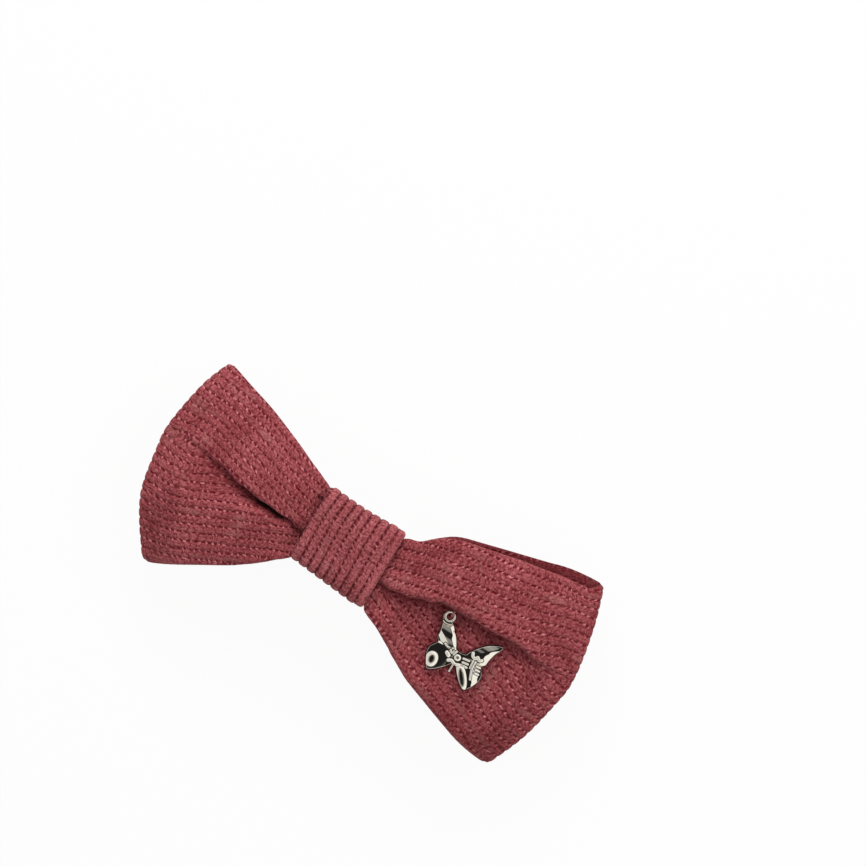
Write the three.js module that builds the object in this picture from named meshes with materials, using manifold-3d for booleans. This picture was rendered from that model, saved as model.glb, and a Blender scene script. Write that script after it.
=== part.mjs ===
// A fabric bow hair clip: a ribbed strip folded into two loops and gathered under a knot band,
// a sprung duckbill clip glued to its back, and a small butterfly charm hung on a thread.
// Millimetres. +X runs along the bow towards the charm's wing, +Z out of its front.
// The model is laid out about the middle of the knot. The last lines move it so that the
// origin is under the middle of the whole bow, on the surface that the clip rests on.
import * as THREE from 'three';
import { mergeVertices } from 'three/addons/utils/BufferGeometryUtils.js';
import Module from 'manifold-3d';

const wasm = await Module();
wasm.setup();

// ---- driving dimensions ----
const GAP = 0.3; // running clearance between neighbouring pieces
const CLOTH = 2.0; // one folded ply of the strip
const BAND = { left: -8.5, right: 7, thick: 1.1, middle: 13.8, halfHeight: 4.0 };
const WRAP = { yarn: 0.25, turns: 3, pitch: 1.4, slack: 0.1, squareness: 3 }; // gathering thread
const KNOT = { low: -5.1, high: 4.3, front: 15.6, thick: 3.6, edgeThick: 2.2 }; // gathered strip
const STEEL = 0.6; // clip sheet
const PLATE_TOP = 7.2;
const PLATE_UNDER = PLATE_TOP - STEEL;
const PIN = { x: 4, z: 3.6, radius: 0.75, head: 1.4, headThick: 0.5 };
const CLIP = { tip: -28, grip: -18.5, belly: -8.5, tab: 16, tipHalf: 3, hingeHalf: 4.0, tabHalf: 5, ear: 2 };
const SPRING = { wire: 0.3, radius: 1.75, turns: 3.5, halfWidth: 2.2, arm: 7.5, spread: 0.075 };
const EYE = { x: 20.95, y: -1.45, outer: 1.05, hole: 0.6, thick: 0.5, clear: 2.4 }; // the charm's hanging eye
const CHARM = { thick: 1.0, under: 14.4, tailX: 25.8, tailY: -5.24, slope: 0.06 };
const LOOP = { radius: 0.6, yarn: 0.16, stem: 0.7 }; // sewing thread that holds the charm
const CENTRE = { x: 3.3, y: -2.1 }; // middle of the whole bow, from the knot's middle

const ROSE = 0xa64c55;
const ROSE_THREAD = 0xb4646c;
const GLUE = 0xd9d2c4;
const NICKEL = 0xc4c6c8;
const PIN_STEEL = 0xb9bbbd;
const SPRING_STEEL = 0x9a9c9f;
const SILVER = 0xe2e3e4;

// ---- helpers ----
function mesh(name, geometry, color, roughness, metalness) {
  const body = new THREE.Mesh(geometry, new THREE.MeshStandardMaterial({ color, roughness, metalness }));
  body.name = name;
  return body;
}

function bare(geometry) {
  geometry.deleteAttribute('normal');
  geometry.deleteAttribute('uv');
  return mergeVertices(geometry, 1e-4);
}

function toManifold(geometry) {
  const merged = bare(geometry.clone());
  return new wasm.Manifold(new wasm.Mesh({
    numProp: 3,
    vertProperties: new Float32Array(merged.attributes.position.array),
    triVerts: new Uint32Array(merged.index.array),
  }));
}

function toGeometry(manifold) {
  const { vertProperties, triVerts } = manifold.getMesh();
  const geometry = new THREE.BufferGeometry();
  geometry.setAttribute('position', new THREE.BufferAttribute(vertProperties, 3));
  geometry.setIndex(new THREE.BufferAttribute(triVerts, 1));
  geometry.computeVertexNormals();
  return geometry;
}

function join(first, ...others) {
  return toGeometry(others.reduce((sum, part) => sum.add(toManifold(part)), toManifold(first)));
}

function cut(first, ...others) {
  return toGeometry(others.reduce((rest, part) => rest.subtract(toManifold(part)), toManifold(first)));
}

function common(first, second) {
  return toGeometry(toManifold(first).intersect(toManifold(second)));
}

// Moves every vertex of a closed geometry, and turns its faces out if the move mirrored it.
function reshape(geometry, place) {
  const shaped = bare(geometry);
  const position = shaped.attributes.position;
  const point = new THREE.Vector3();
  for (let i = 0; i < position.count; i++) {
    place(point.fromBufferAttribute(position, i));
    position.setXYZ(i, point.x, point.y, point.z);
  }
  const index = shaped.index.array;
  const corner = [0, 1, 2].map(() => new THREE.Vector3());
  let volume = 0;
  for (let i = 0; i < index.length; i += 3) {
    corner.forEach((c, k) => c.fromBufferAttribute(position, index[i + k]));
    volume += corner[0].dot(corner[1].clone().cross(corner[2]));
  }
  if (volume < 0) {
    for (let i = 0; i < index.length; i += 3) [index[i], index[i + 1]] = [index[i + 1], index[i]];
  }
  shaped.computeVertexNormals();
  return shaped;
}

// A plan outline (X, Y) given thickness in Z.
function plate(shape, low, high, curveSegments = 8) {
  const geometry = new THREE.ExtrudeGeometry(shape, { depth: high - low, bevelEnabled: false, curveSegments });
  return geometry.translate(0, 0, low);
}

// A side outline drawn in (X, Z) and given width in Y.
function sideways(shape, low, high, curveSegments = 8) {
  const geometry = new THREE.ExtrudeGeometry(shape, { depth: high - low, bevelEnabled: false, curveSegments });
  return geometry.rotateX(Math.PI / 2).translate(0, high, 0);
}

function tube(curve, radius, steps, sides = 6) {
  const section = new THREE.Shape().absarc(0, 0, radius, 0, 2 * Math.PI);
  return new THREE.ExtrudeGeometry(section, { steps, extrudePath: curve, curveSegments: sides / 2 });
}

// A value that eases from one station [position, value] to the next.
function along(stations, position) {
  let value = stations[0][1];
  for (let i = 1; i < stations.length; i++) {
    const share = THREE.MathUtils.smoothstep(position, stations[i - 1][0], stations[i][0]);
    value += share * (stations[i][1] - stations[i - 1][1]);
  }
  return value;
}

// A point of a rounded rectangle (a superellipse) at an angle.
function rounded(angle, halfY, halfZ, squareness) {
  const power = 2 / squareness;
  const c = Math.cos(angle);
  const s = Math.sin(angle);
  return [halfY * Math.sign(c) * Math.abs(c) ** power, halfZ * Math.sign(s) * Math.abs(s) ** power];
}

const spline = (points) => new THREE.SplineCurve(points.map(([x, y]) => new THREE.Vector2(x, y)));

// ---- the two loops of the bow ----
// Each wing is a patch between four edges seen from the front. Across it, t runs from the
// bottom edge (0) to the top edge (1); along it, u runs from the knot (0) to the fold (1).
const RIGHT_WING = {
  bottom: spline([[0, KNOT.low], [3, KNOT.low + 0.1], [7.3, -5.6], [11, -9.6], [20, -14.9], [30, -18.6],
    [40, -20.6]]),
  top: spline([[0, KNOT.high], [3, KNOT.high - 0.1], [7.3, 5.0], [10.4, 7.7], [15, 11.2], [25, 13.9],
    [35, 16.3], [41.6, 16.9]]),
  fold: spline([[40, -20.6], [43, -13.3], [45.3, -3], [45, 4], [43.5, 10.8], [41.6, 16.9]]),
  crest: [[0, 15.6], [0.2, 15.5], [0.36, 16.9], [0.6, 16.6], [0.8, 15.6], [1, 12.4]],
  droop: [[0, 0.7], [0.2, 0.7], [0.5, 2.4], [1, 3]],
  lobe: (u, s) => along([[0.15, 0], [0.32, -3], [0.76, -2.7], [1, 0]], u)
    * along([[-0.95, 0], [-0.62, 0.9], [-0.15, 0.9], [0.04, 1.15], [0.14, 1.15], [0.42, 0]], s),
};
const LEFT_WING = {
  bottom: spline([[0, KNOT.low], [-3, KNOT.low + 0.1], [-8.8, -5.0], [-11.4, -9.2], [-15, -12.6], [-21, -16.3],
    [-30.6, -21.1]]),
  top: spline([[0, KNOT.high], [-3, KNOT.high - 0.1], [-8.8, 5.1], [-11.2, 8.1], [-15, 10], [-25, 13.7],
    [-35.3, 16.6]]),
  fold: spline([[-30.6, -21.1], [-34.8, -15.3], [-38.2, -5], [-38.9, 2], [-37.6, 10], [-35.3, 16.6]]),
  crest: [[0, 15.6], [0.2, 15.5], [0.36, 16.9], [0.6, 16.4], [0.8, 15.2], [1, 12]],
  droop: [[0, 0.7], [0.2, 0.7], [0.5, 2.2], [1, 3]],
  lobe: (u, s) => along([[0.15, 0], [0.3, -2.2], [0.5, -1.6], [0.8, 0]], u)
    * along([[-0.35, 0], [0, 1], [0.05, 1], [0.4, 0]], s),
};
const LOOP_THICK = [[0, KNOT.thick], [0.22, 3.8], [0.4, 7], [0.75, 6], [1, 4.4]];
const LOOP_EDGE = [[0, KNOT.edgeThick], [0.22, 2.4], [0.4, 4.4], [1, 4.4]];
const LOOP_SQUARENESS = 8; // how late the loop starts to round off at its fold

// A point of the wing's plan. The straight end between its two corners is bowed out to the fold.
function spread(wing, u, t) {
  const end = wing.bottom.getPointAt(1).lerp(wing.top.getPointAt(1), t);
  const bulge = wing.fold.getPointAt(t).sub(end);
  return wing.bottom.getPointAt(u).lerp(wing.top.getPointAt(u), t).addScaledVector(bulge, u * u);
}

// Height of the loop's front face and its half thickness. s runs from -1 to 1 across it.
function loopLayer(wing, u, s) {
  const edge = s * s;
  const thick = THREE.MathUtils.lerp(along(LOOP_THICK, u), along(LOOP_EDGE, u), edge * edge);
  const crown = along(wing.crest, u) - along(wing.droop, u) * Math.abs(s) ** 2.2;
  const hollow = wing.lobe(u, s);
  return { front: crown + hollow, half: (thick + hollow) / 2 };
}

// The strip is a closed band: round its length twice through the knot, two plies in each wing.
function bowStrip() {
  const across = 12;
  const around = 72;
  const inside = [];
  const outside = [];
  for (let i = 0; i <= across; i++) {
    const height = i / across;
    inside.push(new THREE.Vector2(1, height));
    outside.unshift(new THREE.Vector2(2, height));
  }
  const profile = [...inside, ...outside, inside[0].clone()];
  return reshape(new THREE.LatheGeometry(profile, around), (point) => {
    const angle = Math.atan2(point.z, point.x);
    const isOutside = Math.hypot(point.x, point.z) > 1.5;
    const t = THREE.MathUtils.clamp(point.y, 0, 1);
    const reach = Math.abs(Math.cos(angle));
    const wing = Math.cos(angle) > 0 ? RIGHT_WING : LEFT_WING;
    const length = wing.bottom.getLength();
    const u = isOutside ? reach : reach * (1 - CLOTH / length);
    const { front, half } = loopLayer(wing, u, 2 * t - 1);
    const fullness = Math.max(0, 1 - reach ** LOOP_SQUARENESS) ** (1 / LOOP_SQUARENESS);
    const ply = Math.min(CLOTH, half - GAP / 2);
    const rise = (isOutside ? half : half - ply) * fullness * Math.sign(Math.sin(angle));
    const flat = spread(wing, u, t);
    point.set(flat.x, flat.y, front - half + rise);
  });
}

// ---- the knot ----
const bandTop = (x) => 6.7 + 0.5 * (x / 8) ** 2;
const bandBottom = (x) => -7.45 - 0.1 * x;

// The band goes once round the gathered strip and laps over its own start at the back.
const LAP = { from: -110, to: 290, easeFrom: 215, easeTo: 245 }; // degrees, 270 is the middle of the back
const BAND_SQUARENESS = 4;

function bandPoint(angle, x, outward) {
  const degrees = THREE.MathUtils.radToDeg(angle);
  const lap = (BAND.thick + GAP) * THREE.MathUtils.smoothstep(degrees, LAP.easeFrom, LAP.easeTo);
  const offset = outward - BAND.thick + lap;
  const halfY = (bandTop(x) - bandBottom(x)) / 2 + offset;
  const [y, z] = rounded(angle, halfY, BAND.halfHeight + offset, BAND_SQUARENESS);
  return new THREE.Vector3(x, y + (bandTop(x) + bandBottom(x)) / 2, z + BAND.middle);
}

function knotBand() {
  const around = 72;
  const across = 4;
  const strip = new THREE.BoxGeometry(1, 1, 1, around, 1, across).translate(0.5, 0.5, 0.5);
  return reshape(strip, (point) => {
    const angle = THREE.MathUtils.degToRad(THREE.MathUtils.lerp(LAP.from, LAP.to, point.x));
    const x = THREE.MathUtils.lerp(BAND.left, BAND.right, point.z);
    point.copy(bandPoint(angle, x, point.y * BAND.thick));
  });
}

// A whip stitch along the band's lapped end, going over its edge to the layer below and back.
function bandStitching() {
  const stitches = 7;
  const yarn = 0.18;
  const inset = 2.5; // from the band's long edges
  const onLap = BAND.thick + GAP + yarn;
  const overEdge = onLap + 0.2;
  // One stitch: [degrees past the lap's end, distance off the band's face].
  const route = [[-8, onLap], [3, overEdge], [13, yarn], [3, overEdge]];
  const count = route.length * stitches;
  const points = [];
  for (let i = 0; i < count; i++) {
    const [turn, outward] = route[i % route.length];
    const x = THREE.MathUtils.lerp(BAND.left + inset, BAND.right - inset, i / count);
    points.push(bandPoint(THREE.MathUtils.degToRad(LAP.to + turn), x, outward));
  }
  return tube(new THREE.CatmullRomCurve3(points, false, 'centripetal'), yarn, 80);
}

// The gathering thread: a few turns round the pinched middle of the strip.
class Winding extends THREE.Curve {
  getPoint(t, target = new THREE.Vector3()) {
    const clear = GAP + WRAP.yarn + WRAP.slack;
    const halfY = (KNOT.high - KNOT.low) / 2 + clear;
    const [y, z] = rounded(t * WRAP.turns * 2 * Math.PI, halfY, KNOT.thick / 2 + clear, WRAP.squareness);
    const x = (t - 0.5) * WRAP.turns * WRAP.pitch;
    return target.set(x, y + (KNOT.high + KNOT.low) / 2, z + KNOT.front - KNOT.thick / 2);
  }
}

// The hot glue between the band's back and the clip, squeezed out unevenly round the edge.
function gluePad() {
  const bottom = PLATE_TOP + GAP;
  const top = BAND.middle - BAND.halfHeight - BAND.thick - 2 * GAP;
  const shape = new THREE.Shape();
  shape.moveTo(-6, -4);
  shape.lineTo(4.5, -4.2);
  shape.quadraticCurveTo(6.2, -4, 6, -2);
  shape.lineTo(5.6, 0.6);
  shape.quadraticCurveTo(5, 2, 3.5, 1.8);
  shape.lineTo(-5.5, 2);
  shape.quadraticCurveTo(-7.4, 1.8, -7.2, 0);
  shape.lineTo(-7.4, -2.5);
  shape.quadraticCurveTo(-7.2, -4, -6, -4);
  return plate(shape, bottom, top, 4);
}

// ---- the clip ----
// Plan of both leaves: a narrow round tip, straight sides at the hinge and a wide round tab.
function leafPlan(hingeHalf, waist) {
  const shoulder = PIN.x + waist + 1.5;
  const shape = new THREE.Shape();
  shape.moveTo(CLIP.tip + CLIP.tipHalf, -CLIP.tipHalf);
  shape.lineTo(PIN.x - waist, -hingeHalf);
  shape.lineTo(PIN.x + waist, -hingeHalf);
  shape.lineTo(shoulder, -CLIP.tabHalf);
  shape.lineTo(CLIP.tab - CLIP.tabHalf, -CLIP.tabHalf);
  shape.absarc(CLIP.tab - CLIP.tabHalf, 0, CLIP.tabHalf, -Math.PI / 2, Math.PI / 2);
  shape.lineTo(shoulder, CLIP.tabHalf);
  shape.lineTo(PIN.x + waist, hingeHalf);
  shape.lineTo(PIN.x - waist, hingeHalf);
  shape.lineTo(CLIP.tip + CLIP.tipHalf, CLIP.tipHalf);
  shape.absarc(CLIP.tip + CLIP.tipHalf, 0, CLIP.tipHalf, Math.PI / 2, (3 * Math.PI) / 2);
  return shape;
}

function pinHole() {
  const throughBoth = 30;
  const radius = PIN.radius + GAP;
  return new THREE.CylinderGeometry(radius, radius, throughBoth, 16).translate(PIN.x, 0, PIN.z);
}

// An ear that stands from a leaf and goes round the pin. up is +1 from below, -1 from above.
function ear(leaf, up, inner) {
  const shape = new THREE.Shape();
  shape.moveTo(PIN.x - CLIP.ear, leaf);
  shape.lineTo(PIN.x - CLIP.ear, PIN.z);
  shape.absarc(PIN.x, PIN.z, CLIP.ear, Math.PI, 0, up > 0);
  shape.lineTo(PIN.x + CLIP.ear, leaf);
  return [-1, 1].map((side) => {
    const edges = [side * inner, side * (inner + STEEL)].sort((a, b) => a - b);
    return sideways(shape, edges[0], edges[1], 8);
  });
}

const OUTER_EAR = CLIP.hingeHalf + GAP; // the upper leaf's ears go outside the lower leaf's

function clipTopPlate() {
  const leaf = plate(leafPlan(OUTER_EAR + STEEL, CLIP.ear), PLATE_UNDER, PLATE_TOP);
  return cut(join(leaf, ...ear(PLATE_TOP - STEEL / 2, -1, OUTER_EAR)), pinHole());
}

// The lower leaf is bent: a level belly and tab that the clip rests on, a rise and a toothed grip.
function lowerLeafSide() {
  const gripTop = PLATE_UNDER - 1;
  const bend = 0.2; // keeps the sheet's thickness round its bends
  const teeth = 6;
  const pitch = (CLIP.grip - CLIP.tip) / teeth;
  const shape = new THREE.Shape();
  shape.moveTo(CLIP.tip, gripTop - STEEL);
  shape.lineTo(CLIP.grip, gripTop - STEEL);
  shape.lineTo(CLIP.belly, 0);
  shape.lineTo(CLIP.tab, 0);
  shape.lineTo(CLIP.tab, STEEL);
  shape.lineTo(CLIP.belly + bend, STEEL);
  shape.lineTo(CLIP.grip + bend, gripTop);
  for (let i = teeth; i > 0; i--) {
    shape.lineTo(CLIP.tip + i * pitch, gripTop);
    shape.lineTo(CLIP.tip + (i - 0.5) * pitch, PLATE_UNDER - GAP);
  }
  shape.lineTo(CLIP.tip, gripTop);
  return shape;
}

function clipLowerJaw() {
  const waist = CLIP.ear + 1.2;
  const wide = CLIP.tabHalf + 1;
  const plan = plate(leafPlan(CLIP.hingeHalf, waist), -1, PLATE_TOP + 1);
  const leaf = common(sideways(lowerLeafSide(), -wide, wide), plan);
  return cut(join(leaf, ...ear(STEEL / 2, 1, CLIP.hingeHalf - STEEL)), pinHole());
}

function hingePin() {
  const end = OUTER_EAR + STEEL + GAP;
  const crown = PIN.head * 0.7;
  const side = 0.2;
  const outline = [[0, -end - PIN.headThick], [crown, -end - PIN.headThick], [PIN.head, -end - side],
    [PIN.head, -end], [PIN.radius, -end], [PIN.radius, end], [PIN.head, end], [PIN.head, end + side],
    [crown, end + PIN.headThick], [0, end + PIN.headThick]];
  const lathe = new THREE.LatheGeometry(outline.map(([r, y]) => new THREE.Vector2(r, y)), 16);
  return reshape(lathe, (point) => point.add(new THREE.Vector3(PIN.x, 0, PIN.z)));
}

// Torsion spring: a close coil on the pin with one arm under each tab.
class TorsionWire extends THREE.Curve {
  getPoint(t, target = new THREE.Vector3()) {
    const armShare = 0.15; // of the whole wire, each
    const { radius, turns, halfWidth, arm, spread } = SPRING;
    if (t < armShare) {
      const out = arm * (1 - t / armShare);
      return target.set(PIN.x + out, -halfWidth, PIN.z + radius + out * spread);
    }
    if (t > 1 - armShare) {
      const out = arm * (1 - (1 - t) / armShare);
      return target.set(PIN.x + out, halfWidth, PIN.z - radius - out * spread);
    }
    const turn = (t - armShare) / (1 - 2 * armShare);
    const angle = Math.PI / 2 + turn * turns * 2 * Math.PI;
    const x = PIN.x + radius * Math.cos(angle);
    return target.set(x, (2 * turn - 1) * halfWidth, PIN.z + radius * Math.sin(angle));
  }
}

// ---- the charm ----
// Half of the butterfly from tail to head: [towards the head, sideways].
const HALF_BUTTERFLY = [[0.5, 0.75], [-0.3, 1.25], [-1.6, 2.2], [-3, 3.6], [-4, 5.7], [-3.5, 6.05], [-2, 5.25],
  [-0.5, 4.95], [0.45, 4.95], [0.95, 4.5], [1.45, 4.6], [2.4, 5.15], [3.6, 5.25], [5.1, 4.65], [6.05, 3.8],
  [5.65, 2.6], [4.5, 1.3], [3.5, 0.5]];

function butterflyCharm() {
  const right = HALF_BUTTERFLY.map(([head, side]) => [side, -head]);
  const left = [...HALF_BUTTERFLY].reverse().map(([head, side]) => [-side, -head]);
  const notch = [[0.2, -4.5], [-0.2, -4.5]];
  const outline = [...right, ...notch, ...left];
  const shape = new THREE.Shape(outline.map(([x, y]) => new THREE.Vector2(x + CHARM.tailX, y + CHARM.tailY)));
  const eye = new THREE.Shape().absarc(EYE.x, EYE.y, EYE.outer, 0, 2 * Math.PI);
  const hole = new THREE.CylinderGeometry(EYE.hole, EYE.hole, 4 * CHARM.thick, 16).rotateX(Math.PI / 2);
  hole.translate(EYE.x, EYE.y, CHARM.under);
  const rimTop = CHARM.under + EYE.thick;
  const body = join(plate(shape, CHARM.under, CHARM.under + CHARM.thick), plate(eye, CHARM.under, rimTop, 10));
  return cut(body, hole, eyeRelief());
}

// The wing's tip is cut down to the eye's thickness, so that the thread's loop clears it.
function eyeRelief() {
  const height = 2;
  const middle = CHARM.under + EYE.thick + height / 2;
  return new THREE.BoxGeometry(EYE.clear, EYE.clear, height).translate(EYE.x, EYE.y, middle);
}

// The point of the eye's rim that the thread goes round. The charm swings and lifts about it.
const RIM = { x: EYE.x + 0.21, y: EYE.y + 0.8, z: CHARM.under + EYE.thick / 2 };

// The thread's loop is a ring about the rim, so the charm lifts without touching it.
function charmThread() {
  const facets = 8;
  const section = Array.from({ length: facets + 1 }, (_, i) => {
    const turn = ((i % facets) * 2 * Math.PI) / facets;
    return new THREE.Vector2(LOOP.radius + LOOP.yarn * Math.cos(turn), LOOP.yarn * Math.sin(turn));
  });
  const ring = new THREE.LatheGeometry(section, 20).rotateZ(Math.PI / 2).translate(RIM.x, RIM.y, RIM.z);
  const stem = new THREE.CylinderGeometry(LOOP.yarn, LOOP.yarn, LOOP.stem, facets).rotateX(Math.PI / 2);
  stem.translate(RIM.x, RIM.y + LOOP.radius, RIM.z - LOOP.stem / 2);
  return join(ring, stem);
}

// ---- assembly ----
const bow = new THREE.Group();
bow.add(mesh('bow_strip', bowStrip(), ROSE, 0.95, 0));
bow.add(mesh('knot_band', knotBand(), ROSE, 0.95, 0));
bow.add(mesh('gather_thread', tube(new Winding(), WRAP.yarn, 84), ROSE_THREAD, 0.8, 0));
bow.add(mesh('band_stitching', bandStitching(), ROSE_THREAD, 0.8, 0));
bow.add(mesh('glue_pad', gluePad(), GLUE, 0.45, 0));
bow.add(mesh('clip_top_plate', clipTopPlate(), NICKEL, 0.25, 1));
bow.add(mesh('clip_lower_jaw', clipLowerJaw(), NICKEL, 0.25, 1));
bow.add(mesh('hinge_pin', hingePin(), PIN_STEEL, 0.25, 1));
bow.add(mesh('torsion_spring', tube(new TorsionWire(), SPRING.wire, 80), SPRING_STEEL, 0.35, 1));

const charm = new THREE.Group();
charm.add(mesh('charm_thread', charmThread(), ROSE_THREAD, 0.8, 0));
charm.add(mesh('butterfly_charm', butterflyCharm(), SILVER, 0.12, 1));
const hang = new THREE.Group();
hang.position.set(RIM.x, RIM.y, RIM.z);
hang.rotation.y = CHARM.slope;
charm.position.set(-RIM.x, -RIM.y, -RIM.z);
hang.add(charm);
bow.add(hang);

const part = new THREE.Group();
bow.position.set(-CENTRE.x, -CENTRE.y, 0);
part.add(bow);
part.updateMatrixWorld(true);

export default part;
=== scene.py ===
import math

import bmesh
import bpy
import numpy as np
from bpy.props import FloatProperty, FloatVectorProperty, IntProperty, PointerProperty
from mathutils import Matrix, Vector


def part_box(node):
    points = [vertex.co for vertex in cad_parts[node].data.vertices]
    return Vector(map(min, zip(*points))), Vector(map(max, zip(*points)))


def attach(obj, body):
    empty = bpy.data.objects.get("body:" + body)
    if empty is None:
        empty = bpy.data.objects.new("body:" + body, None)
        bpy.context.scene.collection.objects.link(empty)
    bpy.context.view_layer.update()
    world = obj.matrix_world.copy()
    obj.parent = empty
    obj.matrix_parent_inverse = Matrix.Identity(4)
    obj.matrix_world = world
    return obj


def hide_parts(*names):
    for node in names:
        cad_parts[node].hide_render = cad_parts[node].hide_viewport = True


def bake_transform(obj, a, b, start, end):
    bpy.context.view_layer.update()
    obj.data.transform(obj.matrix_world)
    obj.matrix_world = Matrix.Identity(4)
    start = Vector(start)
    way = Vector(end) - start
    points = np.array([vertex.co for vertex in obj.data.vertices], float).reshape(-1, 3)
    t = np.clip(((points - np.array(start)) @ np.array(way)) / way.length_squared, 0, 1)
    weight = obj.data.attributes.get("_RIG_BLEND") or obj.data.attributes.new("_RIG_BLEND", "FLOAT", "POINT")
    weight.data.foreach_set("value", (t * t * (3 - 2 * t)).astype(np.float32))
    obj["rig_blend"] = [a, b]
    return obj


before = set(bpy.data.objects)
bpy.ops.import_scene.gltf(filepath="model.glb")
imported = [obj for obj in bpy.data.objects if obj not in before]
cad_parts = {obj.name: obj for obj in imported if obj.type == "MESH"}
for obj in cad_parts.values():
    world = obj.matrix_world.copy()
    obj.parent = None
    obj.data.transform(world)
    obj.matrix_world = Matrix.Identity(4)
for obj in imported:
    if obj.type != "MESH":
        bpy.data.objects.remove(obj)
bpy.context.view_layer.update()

bl_info = {
    "name": "Ribbed Bow Hair Clip",
    "version": (1, 0, 0),
    "blender": (4, 5, 0),
    "location": "View3D > Sidebar > Bow Clip",
    "description": "Builds a ribbed fabric bow on a sprung clip, with a hanging butterfly charm",
    "category": "Object",
}

# Shapes are laid out in millimetres about the middle of the knot: +X runs along the bow
# towards the charm's loop, +Z out of the bow's front. in_part() moves them to the frame.
MM = 0.001
KNOT_TO_PART = np.array([-3.3, 2.1, 0.0])


def in_part(points):
    """Millimetres about the knot, as metres in the part's own frame."""
    return (np.asarray(points, float) + KNOT_TO_PART) * MM


def from_part(corner):
    """A corner of a CAD box in metres, as millimetres about the knot."""
    return np.array(corner) / MM - KNOT_TO_PART


# ---- shape helpers ----
def ease(value, low, high):
    share = np.clip((value - low) / (high - low), 0, 1)
    return share * share * (3 - 2 * share)


def along(stations, position):
    """A value that eases from one station (position, value) to the next."""
    value = np.full(np.shape(position), float(stations[0][1]))
    for (start, before), (end, after) in zip(stations, stations[1:]):
        value = value + (after - before) * ease(position, start, end)
    return value


def mix(a, b, share):
    return a + (b - a) * share


def spline(points, steps=24):
    """Points spaced along a smooth curve through the given ones, with their shares of its length."""
    ends = np.array([points[0], *points, points[-1]], float)
    path = []
    for p0, p1, p2, p3 in zip(ends, ends[1:], ends[2:], ends[3:]):
        for k in range(steps):
            t = k / steps
            path.append(0.5 * (2 * p1 + (p2 - p0) * t + (2 * p0 - 5 * p1 + 4 * p2 - p3) * t * t
                               + (3 * p1 - p0 - 3 * p2 + p3) * t ** 3))
    path.append(ends[-1])
    path = np.array(path)
    gone = np.concatenate([[0], np.cumsum(np.linalg.norm(np.diff(path, axis=0), axis=1))])
    return path, gone / gone[-1]


def curve(points):
    """A function from a share of the curve's length to its point."""
    path, share = spline(points)
    return lambda t: np.stack([np.interp(t, share, path[:, k]) for k in range(path.shape[1])], -1)


def ripple(x, y, seed, waves=7):
    """Smooth irregular values from about -1 to 1, the same on each run."""
    chance = np.random.default_rng(seed)
    total = 0
    for _ in range(waves):
        turn, phase, pace = chance.uniform(0, 2 * math.pi, 2).tolist() + [chance.uniform(0.6, 1.6)]
        total = total + np.sin(pace * (x * math.cos(turn) + y * math.sin(turn)) + phase)
    return total * math.sqrt(2 / waves) / 1.6


def unit(vectors):
    return vectors / np.maximum(np.linalg.norm(vectors, axis=-1, keepdims=True), 1e-9)


def distance_to(path, x, y):
    """Distance from each (x, y) to an open line of points."""
    nearest = np.full(np.shape(x), np.inf)
    for (ax, ay), (bx, by) in zip(path, path[1:]):
        run = max((bx - ax) ** 2 + (by - ay) ** 2, 1e-12)
        share = np.clip(((x - ax) * (bx - ax) + (y - ay) * (by - ay)) / run, 0, 1)
        nearest = np.minimum(nearest, np.hypot(x - ax - share * (bx - ax), y - ay - share * (by - ay)))
    return nearest


# ---- mesh helpers ----
def new_object(name, mesh, material, smooth=True):
    mesh.materials.clear()
    mesh.materials.append(material)
    mesh.polygons.foreach_set("use_smooth", [smooth] * len(mesh.polygons))
    piece = bpy.data.objects.new(name, mesh)
    bpy.context.scene.collection.objects.link(piece)
    return piece


def skin(bm, points, weave=None, marks=None):
    """Adds a grid laid over points[row][column] to a bmesh. Rows or columns that meet are merged.

    weave holds each point's UV, and marks holds named values at the points."""
    rows, columns = points.shape[:2]
    uv_layer = bm.loops.layers.uv.get("weave") or bm.loops.layers.uv.new("weave")
    floats = bm.verts.layers.float
    layers = {name: floats.get(name) or floats.new(name) for name in marks or {}}
    made = bmesh.ops.create_grid(bm, x_segments=columns - 1, y_segments=rows - 1, size=1)["verts"]
    for vert, at in zip(made, in_part(points).reshape(-1, 3)):
        vert.co = at
    if weave is not None:
        for vert, uv in zip(made, weave.reshape(-1, 2)):
            for loop in vert.link_loops:
                loop[uv_layer].uv = uv
    for name, layer in layers.items():
        for vert, value in zip(made, np.broadcast_to(marks[name], (rows, columns)).ravel()):
            vert[layer] = value
    rim = [e for v in made for e in v.link_edges if e.is_boundary]
    bmesh.ops.remove_doubles(bm, verts=list({v for e in rim for v in e.verts}), dist=1e-7)
    made = [v for v in made if v.is_valid]
    rim = list({e for v in made for e in v.link_edges if e.is_boundary})
    if rim:
        bmesh.ops.holes_fill(bm, edges=rim)


def closed_mesh(bm, name):
    """Turns every face of a closed shell outwards and makes its mesh."""
    bmesh.ops.recalc_face_normals(bm, faces=bm.faces)
    mesh = bpy.data.meshes.new(name)
    bm.to_mesh(mesh)
    bm.free()
    return mesh


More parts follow.
